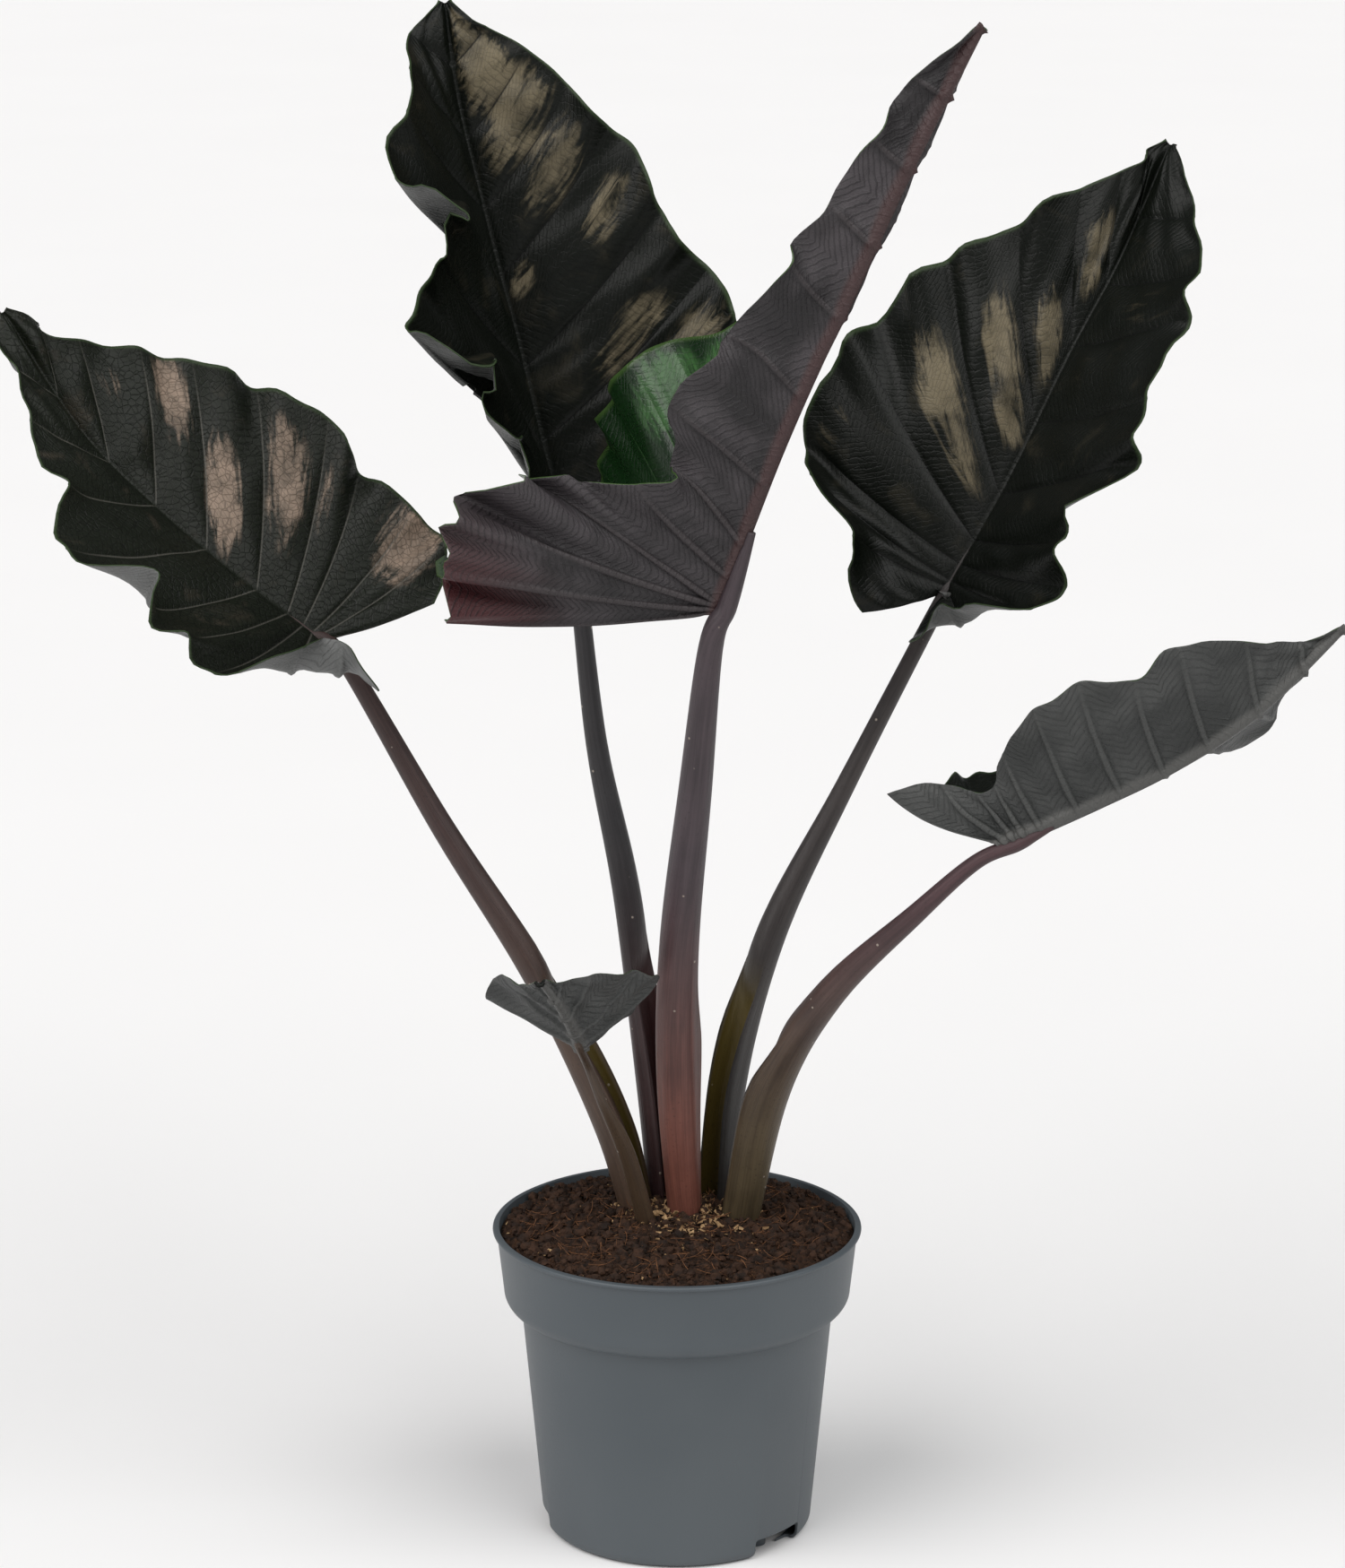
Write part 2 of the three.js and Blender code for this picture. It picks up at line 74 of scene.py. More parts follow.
# The leaves, from the middle of the plant's ground level.
# midrib: points from the stalk to the tip. face: where the upper side looks, at the base and the tip.
# ribs: each is its place along the midrib, its left side and its right side. A side is its length, its
#   sweep from the tip's direction, its lift towards the face and the roll of its outer part.
# veins: the ribs that show as veins, when not all do. body: thickness against the other blades.
# cup: how many degrees a side lifts more at its margin. ripple: how wavy the left and right sides are.
# sheen: where a sheen is painted into the upper side's colour, and a blush into an underside that has one,
# as rib, signed reach, width, length and strength.
# foot, stalk, radii: the stalk's way up and its thickness. sheath: how high the open sheath reaches.
LEAVES = {
    "left": {
        "midrib": [(-168, 70, 269), (-204, 80, 295), (-241, 92, 324), (-275, 102, 357), (-311, 112, 411)],
        "face": [(0.3, -0.75, 0.55), (0.35, -0.8, 0.5)],
        "cup": 8,
        "ripple": (0.6, 0.4),
        "ribs": [
            (-0.03, (45, 160, 22, 0), (54, 125, 12, 0)),
            (-0.015, (50, 140, 18, 125), (73, 106, 12, 0)),
            (0, (55, 100, 14, 110), (77, 90, 6, 0)),
            (0.03, (73, 81, 20, 10), (84, 71, 4, 0)),
            (0.08, (92, 70, 25, 20), (100, 63, 2, 0)),
            (0.18, (100, 62, 15, 67), (105, 52, 0, 0)),
            (0.34, (92, 63, 25, 10), (95, 45, 0, 0)),
            (0.5, (62, 55, 25, 10), (79, 41, 0, 0)),
            (0.66, (46, 33, 20, 0), (60, 29, 0, 0)),
            (0.83, (31, 31, 15, 0), (33, 19, 0, 0)),
            (1, (2, 60, 0, 0), (2, 60, 0, 0)),
        ],
        "sheen": [
            (6.5, 0.75, 0.35, 0.28, 0.9), (5.7, 0.35, 0.3, 0.3, 1), (4.6, 0.55, 0.4, 0.33, 0.8),
            (3.8, 0.6, 0.3, 0.2, 0.5), (1.6, 0.78, 0.8, 0.25, 1), (7.6, 0.7, 0.3, 0.2, 0.4),
        ],
        "foot": (-17, 22),
        "stalk": [(-31, 27, 46), (-64, 38, 112), (-108, 54, 179)],
        "radii": (7, 8.5, 7, 5.5, 4, 3.6),
        "sheath": 135,
    },
    "back": {
        "midrib": [(-50, 60, 315), (-69, 72, 392), (-86, 82, 458), (-99, 92, 512), (-105, 100, 554)],
        "face": [(0.05, -0.93, 0.33), (0.05, -0.95, 0.3)],
        "cup": 8,
        "ripple": (0.6, 0.5),
        "ribs": [
            (-0.03, (21, 126, 30, 0), (27, 139, 10, 0)),
            (-0.015, (24, 75, 30, 0), (57, 116, 10, 0)),
            (0, (44, 30, 30, 20), (77, 91, 8, 0)),
            (0.02, (66, 14, 25, 54), (98, 74, 5, 0)),
            (0.05, (86, 25, 32, 30), (110, 66, 5, 0)),
            (0.09, (105, 13, 20, 80), (115, 58, 5, 0)),
            (0.14, (105, 38, 32, 20), (110, 57, 5, 0)),
            (0.19, (90, 35, 32, 0), (101, 54, 5, 0)),
            (0.25, (89, 26, 30, 20), (96, 54, 5, 0)),
            (0.32, (95, 9, 20, 72), (96, 50, 5, 0)),
            (0.4, (89, 34, 30, 20), (84, 50, 5, 0)),
            (0.52, (69, 27, 30, 0), (68, 48, 5, 0)),
            (0.66, (47, 27, 25, 0), (49, 47, 5, 0)),
            (0.83, (26, 46, 20, 0), (23, 48, 5, 0)),
            (1, (2, 60, 0, 0), (2, 60, 0, 0)),
        ],
        "veins": (0, 2, 4, 6, 8, 10, 11, 12, 13, 14),
        "sheen": [
            (12.8, 0.5, 1, 0.4, 1), (11.6, 0.55, 0.6, 0.4, 0.9), (10.5, 0.6, 0.5, 0.3, 0.8),
            (9, 0.7, 0.5, 0.2, 0.6), (6.5, 0.55, 0.7, 0.25, 0.6), (5, 0.8, 0.7, 0.2, 0.6),
            (9.6, 0.12, 0.4, 0.1, 0.5), (3.5, 0.75, 0.4, 0.2, 0.4),
        ],
        "foot": (-5, 34),
        "stalk": [(-12, 38, 60), (-23, 45, 149), (-37, 52, 220)],
        "radii": (7.5, 7, 6.5, 5, 4, 3.6),
        "sheath": 155,
    },
    "right": {
        "midrib": [(125, 62, 295), (152, 75, 341), (179, 88, 395), (203, 98, 439), (225, 108, 489)],
        "face": [(-0.3, -0.78, 0.5), (-0.35, -0.8, 0.5)],
        "cup": 8,
        "ripple": (0.5, 0.6),
        "ribs": [
            (-0.03, (38, 136, 12, 0), (32, 172, 22, 0)),
            (-0.015, (62, 90, 12, 90), (45, 120, 16, 125)),
            (0, (81, 81, 10, 0), (67, 87, 25, 10)),
            (0.04, (99, 79, 5, 0), (73, 81, 25, 0)),
            (0.1, (114, 58, 5, 0), (76, 75, 30, 20)),
            (0.21, (115, 40, 5, 0), (95, 62, 30, 0)),
            (0.36, (93, 29, 5, 0), (85, 68, 30, 0)),
            (0.52, (74, 23, 5, 0), (80, 64, 30, 0)),
            (0.68, (53, 18, 5, 0), (65, 69, 25, 0)),
            (0.84, (28, 12, 5, 0), (35, 75, 20, 0)),
            (1, (2, 60, 0, 0), (2, 60, 0, 0)),
        ],
        "sheen": [
            (5.6, -0.4, 0.3, 0.35, 1), (7.6, -0.45, 0.45, 0.3, 0.9), (4.6, -0.45, 0.3, 0.35, 0.8),
            (6.5, -0.3, 0.3, 0.25, 0.9), (3.4, -0.85, 0.4, 0.1, 0.3), (7.5, 0.6, 0.5, 0.3, 0.3),
        ],
        "foot": (18, 32),
        "stalk": [(25, 34, 66), (44, 42, 133), (77, 52, 199)],
        "radii": (8.2, 8, 7, 4.6, 3.6, 3.4),
        "sheath": 142,
    },
    "front": {
        "midrib": [(17, -45, 309), (45, -52, 383), (73, -54, 445), (98, -50, 499), (129, -36, 558)],
        "face": [(-0.85, 0.35, 0.4), (-0.8, 0.45, 0.35)],
        "cup": 10,
        "ribs": [
            (-0.016, (70, 125, 48, 0), (118, 121, 46, 0)),
            (-0.011, (90, 105, 48, 0), (127, 99, 46, 0)),
            (-0.005, (112, 77, 50, 0), (130, 81, 46, 0)),
            (0, (117, 41, 50, 0), (103, 58, 46, 0)),
            (0.04, (110, 28, 47, 0), (64, 50, 42, 0)),
            (0.09, (103, 35, 41, 0), (45, 36, 38, 0)),
            (0.18, (75, 31, 40, 0), (55, 52, 45, 20)),
            (0.32, (60, 40, 25, 0), (42, 46, 45, 8)),
            (0.46, (44, 44, 5, 0), (36, 55, 45, 0)),
            (0.6, (25, 45, 0, 0), (27, 56, 45, 0)),
            (0.75, (22, 50, 0, 0), (22, 70, 45, 0)),
            (0.88, (14, 60, 5, 0), (16, 85, 45, 0)),
            (1, (2, 60, 0, 0), (2, 60, 0, 0)),
        ],
        "ripple": (0.2, 1.3),
        "sheen": [(4.5, -0.8, 1, 0.2, 0.8), (6, -0.8, 0.7, 0.2, 0.6), (0.3, 0.95, 1.3, 0.3, 0.9)],
        "foot": (4, 11),
        "stalk": [(0, 2, 76), (1, -12, 144), (8, -30, 220)],
        "radii": (7.2, 9.5, 9, 7.5, 5.5, 4.5),
        "sheath": 150,
    },
    "low_right": {
        "midrib": [(148, -62, 207), (184, -68, 225), (217, -70, 242), (252, -66, 265), (290, -52, 299)],
        "face": [(-0.38, 0.66, 0.65), (-0.4, 0.6, 0.6)],
        "cup": 10,
        "ribs": [
            (-0.04, (50, 150, 55, 0), (56, 158, 30, 20)),
            (-0.02, (55, 125, 55, 0), (39, 136, 40, 20)),
            (0, (55, 105, 55, 0), (26, 120, 55, 0)),
            (0.03, (55, 92, 55, 0), (25, 102, 50, 0)),
            (0.08, (55, 85, 55, 0), (38, 91, 40, 0)),
            (0.19, (55, 78, 50, 0), (56, 83, 30, 0)),
            (0.32, (52, 75, 40, 0), (59, 83, 25, 0)),
            (0.46, (48, 72, 25, 0), (52, 79, 25, 0)),
            (0.6, (42, 75, 10, 0), (53, 75, 25, 0)),
            (0.75, (34, 75, 8, 0), (34, 62, 25, 0)),
            (0.88, (18, 75, 10, 0), (12, 40, 25, 0)),
            (1, (2, 60, 0, 0), (2, 60, 0, 0)),
        ],
        "ripple": (0.6, 0.5),
        "foot": (28, 12),
        "stalk": [(43, -5, 72), (68, -32, 125), (105, -54, 169)],
        "radii": (8.2, 9, 7, 4.5, 3.4, 3.2),
        "sheath": 118,
    },
    "small": {
        "midrib": [(-44, -40, 105), (-48, -54, 119), (-53, -68, 133), (-60, -84, 148)],
        "face": [(0, 0.75, 0.65), (0, 0.85, 0.5)],
        "cup": 15,
        "ribs": [
            (-0.06, (30, 140, 38, 0), (30, 140, 38, 0)),
            (-0.03, (36, 105, 34, 0), (40, 105, 34, 0)),
            (0, (48, 95, 30, 0), (52, 92, 30, 0)),
            (0.15, (40, 73, 28, 0), (43, 62, 28, 0)),
            (0.42, (25, 42, 15, 0), (27, 41, 15, 0)),
            (0.72, (10, 35, 10, 0), (14, 34, 10, 0)),
            (1, (2, 60, 0, 0), (2, 60, 0, 0)),
        ],
        "ripple": (0.4, 0.4),
        "body": 0.6,
        "foot": (-12, 1),
        "stalk": [(-23, -10, 41), (-34, -25, 73)],
        "radii": (4, 3.6, 2.6, 2, 1.8),
        "sheath": 92,
    },
}


# Numbers

def through(values, places):
    """Smooth values through a list, at places counted in list steps."""
    values = np.array(values, float)
    places = np.asarray(places, float)
    before, after = 2 * values[0] - values[1], 2 * values[-1] - values[-2]
    values = np.concatenate([[before], values, [after]])
    first = np.clip(np.floor(places).astype(int), 0, len(values) - 4)
    p0, p1, p2, p3 = (values[first + step] for step in range(4))
    t = (places - first).reshape(places.shape + (1,) * (values.ndim - 1))
    smooth = 2 * p1 + (p2 - p0) * t + (2 * p0 - 5 * p1 + 4 * p2 - p3) * t**2
    return 0.5 * (smooth + (3 * p1 - p0 - 3 * p2 + p3) * t**3)


def unit(vectors):
    return vectors / np.linalg.norm(vectors, axis=-1, keepdims=True)


def smoothstep(values, low, high):
    """0 below low, 1 above high and a smooth rise between."""
    share = np.clip((values - low) / (high - low), 0, 1)
    return share * share * (3 - 2 * share)


# Mesh work

def deselect():
    if bpy.context.object and bpy.context.object.mode != "OBJECT":
        bpy.ops.object.mode_set(mode="OBJECT")
    bpy.ops.object.select_all(action="DESELECT")


def named(name):
    """The object that an operator has just added, under its own name."""
    piece = bpy.context.object
    piece.name = name
    piece.data.name = name
    return piece


def only(piece):
    deselect()
    piece.select_set(True)
    bpy.context.view_layer.objects.active = piece
    return piece


def modify(piece, kind, **settings):
    """Adds a modifier and applies it."""
    only(piece)
    modifier = piece.modifiers.new(kind, kind)
    for key, value in settings.items():
        setattr(modifier, key, value)
    bpy.ops.object.modifier_apply(modifier=modifier.name)
    return piece


def points_of(piece):
    places = np.empty(len(piece.data.vertices) * 3)
    piece.data.vertices.foreach_get("co", places)
    return places.reshape(-1, 3)


def place_points(piece, points):
    piece.data.vertices.foreach_set("co", np.asarray(points, float).ravel())
    piece.data.update()


def settle(piece):
    """Puts the piece's place, turn and size into its mesh."""
    only(piece)
    bpy.ops.object.transform_apply(location=True, rotation=True, scale=True)
    return piece


def face_out(piece):
    """Turns all faces of a closed piece outwards."""
    only(piece)
    bpy.ops.object.mode_set(mode="EDIT")
    bpy.ops.mesh.select_all(action="SELECT")
    bpy.ops.mesh.normals_make_consistent(inside=False)
    bpy.ops.object.mode_set(mode="OBJECT")


def rod(name, sides, rings, radius=1):
    """A cylinder one unit long, cut into rings along its length, and the ring of each point."""
    deselect()
    bpy.ops.mesh.primitive_cylinder_add(vertices=sides, radius=radius, depth=1, end_fill_type="NGON")
    piece = named(name)
    bpy.ops.object.mode_set(mode="EDIT")
    bpy.ops.mesh.select_all(action="DESELECT")
    work = bmesh.from_edit_mesh(piece.data)
    for edge in work.edges:
        if abs(edge.verts[0].co.z - edge.verts[1].co.z) > 0.5:
            edge.select = True
    bmesh.update_edit_mesh(piece.data)
    bpy.ops.mesh.subdivide(number_cuts=rings - 2)
    bpy.ops.object.mode_set(mode="OBJECT")
    return piece, np.rint((points_of(piece)[:, 2] + 0.5) * (rings - 1)).astype(int)


def uv_map(piece, name, values):
    """Writes two numbers for each vertex to a UV map."""
    layer = piece.data.uv_layers.new(name=name)
    corners = np.empty(len(piece.data.loops), int)
    piece.data.loops.foreach_get("vertex_index", corners)
    layer.data.foreach_set("uv", np.asarray(values, float)[corners].ravel())


def finish_piece(piece, slot, *nodes, material=None):
    """Gives a piece its material and its body, and hides the CAD nodes that it stands for."""
    if material:
        piece.data.materials.append(material)
    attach(piece, "root")
    if nodes:
        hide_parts(*nodes)
    return piece


# Materials

class Value:
    """A number or a colour in a material. Arithmetic on numbers adds Math nodes."""

    def __init__(self, finish, socket):
        self.finish, self.socket = finish, socket

    def math(self, operation, *inputs):
        return self.finish.node("ShaderNodeMath", {"operation": operation}, dict(enumerate(inputs)))

    def __add__(self, other):
        return self.math("ADD", self, other)

    def __sub__(self, other):
        return self.math("SUBTRACT", self, other)

    def __rsub__(self, other):
        return self.math("SUBTRACT", other, self)

    def __mul__(self, other):
        return self.math("MULTIPLY", self, other)

    __radd__, __rmul__ = __add__, __mul__

    def sine(self):
        return self.math("SINE", self)

    def larger(self, other):
        return self.math("MAXIMUM", self, other)

    def fade(self, low, high, to_low=0, to_high=1):
        """A smooth step from one value at low to another at high."""
        inputs = {"Value": self, "From Min": low, "From Max": high, "To Min": to_low, "To Max": to_high}
        return self.finish.node("ShaderNodeMapRange", {"interpolation_type": "SMOOTHSTEP"}, inputs)


class Finish:
    """A material being put together from nodes."""

    def __init__(self, name, specular=0.5):
        self.material = bpy.data.materials.new(name)
        self.material.use_nodes = True
        self.tree = self.material.node_tree
        self.shader = self.tree.nodes["Principled BSDF"]
        self.shader.inputs["Specular IOR Level"].default_value = specular

    def feed(self, socket, value):
        if isinstance(value, Value):
            self.tree.links.new(value.socket, socket)
        elif isinstance(value, tuple) and len(value) == 3 and socket.type == "RGBA":
            socket.default_value = (*value, 1)
        else:
            socket.default_value = value

    def node(self, kind, settings, inputs, output=0):
        made = self.tree.nodes.new(kind)
        for key, value in settings.items():
            setattr(made, key, value)
        for key, value in inputs.items():
            self.feed(made.inputs[key], value)
        return Value(self, made.outputs[output])

    def surface(self, colour, roughness, height, distance, strength):
        """Joins the shader up: its colour, its roughness and the bumps of a height."""
        bump = {"Height": height, "Distance": distance, "Strength": strength}
        self.feed(self.shader.inputs["Base Color"], colour)
        self.feed(self.shader.inputs["Roughness"], roughness)
        self.feed(self.shader.inputs["Normal"], self.node("ShaderNodeBump", {}, bump))
        return self.material

    def place(self):
        return self.node("ShaderNodeTexCoord", {}, {}, "Object")

    def parts(self, vector, *axes):
        return [self.node("ShaderNodeSeparateXYZ", {}, {"Vector": vector}, axis) for axis in axes]

    def uv(self, name):
        return self.parts(self.node("ShaderNodeUVMap", {"uv_map": name}, {}), "X", "Y")

    def mix(self, factor, start, end, blend="MIX"):
        settings = {"data_type": "RGBA", "blend_type": blend}
        return self.node("ShaderNodeMix", settings, {0: factor, 6: start, 7: end}, 2)

    def noise(self, vector, scale, detail=3, roughness=0.55, distortion=0):
        inputs = {"Vector": vector, "Scale": scale, "Detail": detail, "Roughness": roughness}
        return self.node("ShaderNodeTexNoise", {}, {**inputs, "Distortion": distortion}, "Fac")

    def cells(self, vector, scale, feature="F1"):
        inputs = {"Vector": vector, "Scale": scale}
        return self.node("ShaderNodeTexVoronoi", {"feature": feature}, inputs, "Distance")

    def vector(self, x, y, z=0):
        return self.node("ShaderNodeCombineXYZ", {}, {"X": x, "Y": y, "Z": z})


def feather(finish, gap, run, pitch):
    """Fine veins that leave the ribs slantwise, as a wave between -1 and 1."""
    warp = finish.noise(finish.vector(gap * 90, run * 90), 1, 2)
    phase = (run + gap * 0.85) * (math.tau / pitch) + warp * 9
    return phase.sine()


def upper_skin(name, deep, sheen, vein, rim, rough, specular=0.2, leather=0.3):
    """A blade's upper side: nearly black and satin, with a metallic sheen painted into its colour where its
    swellings catch the light.
    """
    finish = Finish(name, specular=specular)
    gap, run = finish.uv("veins")
    glow, reach = finish.uv("place")
    spot = finish.place()
    rib = gap.fade(0.0001, 0.0007, 1, 0) * reach.fade(0.6, 1, 1, 0.2)
    midrib = run.fade(0.0006, 0.0018, 1, 0)
    fine = feather(finish, gap, run, 0.0034)
    net = finish.cells(spot, 300, "DISTANCE_TO_EDGE").fade(0, 0.09, 1, 0)
    cloud = finish.noise(spot, 46, 5, 0.6, 0.6)
    # Painted sheen: patches round the sheen spots, streaked along the ribs and broken by the cloud, plus
    # faint scattered ones, mixed into the colour from deep to the sheen colour.
    streak = finish.noise(finish.vector(gap * 260, run * 38, glow * 2), 1, 4, 0.6, 0.5)
    painted_sheen = (glow * 1.25 + (streak - 0.5) * 2.6 + (cloud - 0.5) * 1.2).fade(0.25, 1)
    faint_painted_sheen = cloud.fade(0.55, 0.75) * gap.fade(0.001, 0.008) * 0.1
    painted_sheen = painted_sheen * glow.fade(0.08, 0.5) * cloud.fade(0.3, 0.7, 0.4, 1)
    colour = finish.mix(painted_sheen.larger(faint_painted_sheen), deep, sheen)
    dark = finish.mix(1.0, colour, (0.3, 0.3, 0.3), "MULTIPLY")
    colour = finish.mix((fine.fade(0.7, 1) * 0.4).larger(net * leather), colour, dark)
    colour = finish.mix(rib * 0.8, colour, vein)
    colour = finish.mix(midrib * 0.7, colour, deep)
    colour = finish.mix(reach.fade(0.97, 1), colour, rim)
    height = fine.fade(0.2, 1) * -0.35 - net * leather + finish.noise(spot, 700, 2) * 0.15 - rib * 0.5
    matt = cloud * 0.2 + (rough - 0.1)
    return finish.surface(colour, matt, height, 0.0003, 0.6)


def under_skin(name, skin, shade, vein, midrib_tint, blush=None):
    """A blade's underside: matt, with raised ribs and fine small veins, and a blush where it glows."""
    finish = Finish(name, specular=0.35)
    gap, run = finish.uv("veins")
    glow, reach = finish.uv("place")
    spot = finish.place()
    rib = gap.fade(0.0003, 0.0014, 1, 0) * reach.fade(0.6, 1, 1, 0.3)
    midrib = run.fade(0.0015, 0.005, 1, 0)
    fine = feather(finish, gap, run, 0.0038)
    net = finish.cells(spot, 380, "DISTANCE_TO_EDGE").fade(0, 0.12, 1, 0)
    cloud = finish.noise(spot, 18, 4, 0.6, 0.5)
    shadow = gap.fade(0.0012, 0.005, 1, 0) * reach.fade(0.7, 1, 1, 0.2)
    colour = finish.mix(cloud.fade(0.35, 0.65), shade, skin)
    if blush:
        colour = finish.mix(glow, colour, blush)
    colour = finish.mix((fine.fade(0.5, 1) * 0.55).larger(shadow * 0.6), colour, shade)
    colour = finish.mix(rib * 0.35, colour, vein)
    colour = finish.mix(midrib, colour, midrib_tint)
    height = fine.fade(0.3, 1) * 0.5 + net * 0.3 + rib * 0.6 + finish.noise(spot, 800, 2) * 0.2
    matt = cloud * 0.12 + 0.46
    return finish.surface(colour, matt, height, 0.0005, 0.8)


def petiole_skin(name, low, high, lining):
    """A stalk's skin: streaked lengthwise, with tiny pale specks and an olive lining in its sheath."""
    finish = Finish(name, specular=0.45)
    spot = finish.place()
    inside, _ = finish.uv("skin")
    z = finish.parts(spot, "Z")[0]
    turn, length = finish.uv("wrap")
    streak = finish.noise(finish.vector(turn * 9, length * 14), 1, 4, 0.6)
    thread = finish.noise(finish.vector(turn * 55, length * 22), 1, 3, 0.6)
    blotch = finish.noise(spot, 30, 4, 0.6)
    colour = finish.mix(z.fade(0.15, 0.33), low, high)
    dark = finish.mix(1.0, colour, (0.42, 0.4, 0.42), "MULTIPLY")
    colour = finish.mix((streak * 0.4 + thread * 0.3 + blotch * 0.3).fade(0.36, 0.62, 0.9, 0), colour, dark)
    colour = finish.mix(inside, colour, lining)
    freckle = finish.cells(spot, 420).fade(0.12, 0.3, 1, 0) * blotch.fade(0.4, 0.6)
    colour = finish.mix(freckle * 0.5, colour, dark)
    speck = finish.cells(spot, 95).fade(0.035, 0.075, 1, 0)
    colour = finish.mix(speck * 0.65, colour, (0.42, 0.36, 0.3))
    height = streak * 0.6 + speck * 0.5 + finish.noise(spot, 700, 2) * 0.25
    return finish.surface(colour, blotch * 0.2 + 0.34, height + thread * 0.5, 0.0005, 0.7)


def soil_finish():
    finish = Finish("damp_peat", specular=0.25)
    spot = finish.place()
    crumb = finish.noise(spot, 260, 5, 0.7)
    clump = finish.noise(spot, 55, 4, 0.65)
    colour = finish.mix(crumb.fade(0.3, 0.72), (0.005, 0.003, 0.002), (0.055, 0.025, 0.012))
    colour = finish.mix(clump.fade(0.5, 0.8) * 0.4, colour, (0.09, 0.042, 0.02))
    height = crumb * 0.7 + finish.noise(spot, 700, 3) * 0.5
    return finish.surface(colour, crumb * 0.2 + 0.78, height, 0.003, 1)


def fleck_finish(name, dark, pale, roughness):
    """Chips and fibres, each lighter or darker by where it lies."""
    finish = Finish(name, specular=0.3)
    spot = finish.place()
    tone = finish.noise(spot, 180, 2).fade(0.3, 0.7)
    grain = finish.noise(spot, 1400, 3)
    colour = finish.mix(tone * 0.7 + grain * 0.3, dark, pale)
    return finish.surface(colour, grain * 0.2 + roughness, grain, 0.0003, 1)


def pot_plastic():
    finish = Finish("moulded_plastic", specular=0.5)
    spot = finish.place()
    x, y, z = finish.parts(spot, "X", "Y", "Z")
    cloud = finish.noise(spot, 9, 3, 0.5)
    flow = finish.noise(finish.vector(x * 5, y * 5, z * 60), 1, 3)
    dust = finish.cells(spot, 130).fade(0.02, 0.05, 1, 0) * cloud.fade(0.5, 0.7)
    colour = finish.mix(cloud.fade(0.3, 0.7), (0.06, 0.073, 0.083), (0.074, 0.087, 0.096))
    colour = finish.mix(dust * 0.3, colour, (0.3, 0.3, 0.28))
    grain = finish.noise(spot, 1100, 2)
    height = grain * 0.5 + flow * 0.4
    matt = grain * 0.08 + cloud * 0.08 + 0.4
    return finish.surface(colour, matt, height, 0.00012, 0.6)


def floor_paper():
    finish = Finish("pale_floor", specular=0.1)
    tone = finish.noise(finish.place(), 3, 2)
    colour = finish.mix(tone, (0.86, 0.86, 0.86), (0.88, 0.88, 0.88))
    return finish.surface(colour, tone * 0.02 + 0.9, tone, 0.0001, 0.1)


# Blades

def midrib_length(leaf):
    return np.linalg.norm(np.diff(np.array(leaf["midrib"], float), axis=0), axis=1).sum()


def midrib_at(leaf, share):
    """Place, running direction, face and side direction of a leaf's midrib at shares of its length."""
    share = np.asarray(share, float)
    last = len(leaf["midrib"]) - 1
    on_rib = np.clip(share, 0, 1)
    ahead = through(leaf["midrib"], np.clip(on_rib + 0.01, 0, 1) * last)
    behind = through(leaf["midrib"], np.clip(on_rib - 0.01, 0, 1) * last)
    along = unit(ahead - behind)
    base, tip = (np.array(face) for face in leaf["face"])
    face = base + (tip - base) * on_rib[..., None]
    face = unit(face - along * (face * along).sum(-1, keepdims=True))
    stub = np.minimum(share, 0)[..., None] * midrib_length(leaf)
    return through(leaf["midrib"], on_rib * last) + along * stub, along, face, np.cross(along, face)


def blade_side(leaf, ribs, side, random):
    """Points from the midrib to one margin for each rib place, and the length of each such line."""
    spot, along, face, across = midrib_at(leaf, through([row[0] for row in leaf["ribs"]], ribs))
    rows = through([row[1 if side < 0 else 2] for row in leaf["ribs"]], ribs)
    length, sweep, lift, roll = (rows[:, column, None] for column in range(4))
    last = len(leaf["ribs"]) - 1
    inner = smoothstep(ribs, 0, 0.6)[:, None] * smoothstep(last - ribs, 0, 0.6)[:, None]
    ripple = leaf["ripple"][0 if side < 0 else 1] * inner
    aim = np.radians(sweep)
    margin = spot + length * (np.cos(aim) * along + side * np.sin(aim) * across)
    edge = np.concatenate([[0], np.cumsum(np.linalg.norm(np.diff(margin, axis=0), axis=1))])
    lifting, reaching = 0, 0
    for pitch, degrees, share in MARGIN_WAVES:
        wave = np.sin(math.tau * edge / pitch + random.uniform(0, 7))[:, None]
        lifting, reaching = lifting + degrees * wave, reaching + share * wave
    length = length * (1 + ripple * reaching)
    out = (np.arange(REACH_STEPS) + 0.5)[None, :] / REACH_STEPS
    turn = np.radians(sweep + ARC * (0.5 - out))
    rise = lift + leaf["cup"] * out + roll * smoothstep(out, ROLL_START, ROLL_START + ROLL_LENGTH)
    rise = np.radians(rise + ripple * out**3 * lifting)
    step = (length / REACH_STEPS)[..., None]
    flat = np.cos(turn)[..., None] * along[:, None] + side * np.sin(turn)[..., None] * across[:, None]
    moves = (np.cos(rise)[..., None] * flat + np.sin(rise)[..., None] * face[:, None]) * step
    start = np.zeros((len(ribs), 1, 3))
    return spot[:, None] + np.concatenate([start, np.cumsum(moves, axis=1)], axis=1), length[:, 0]


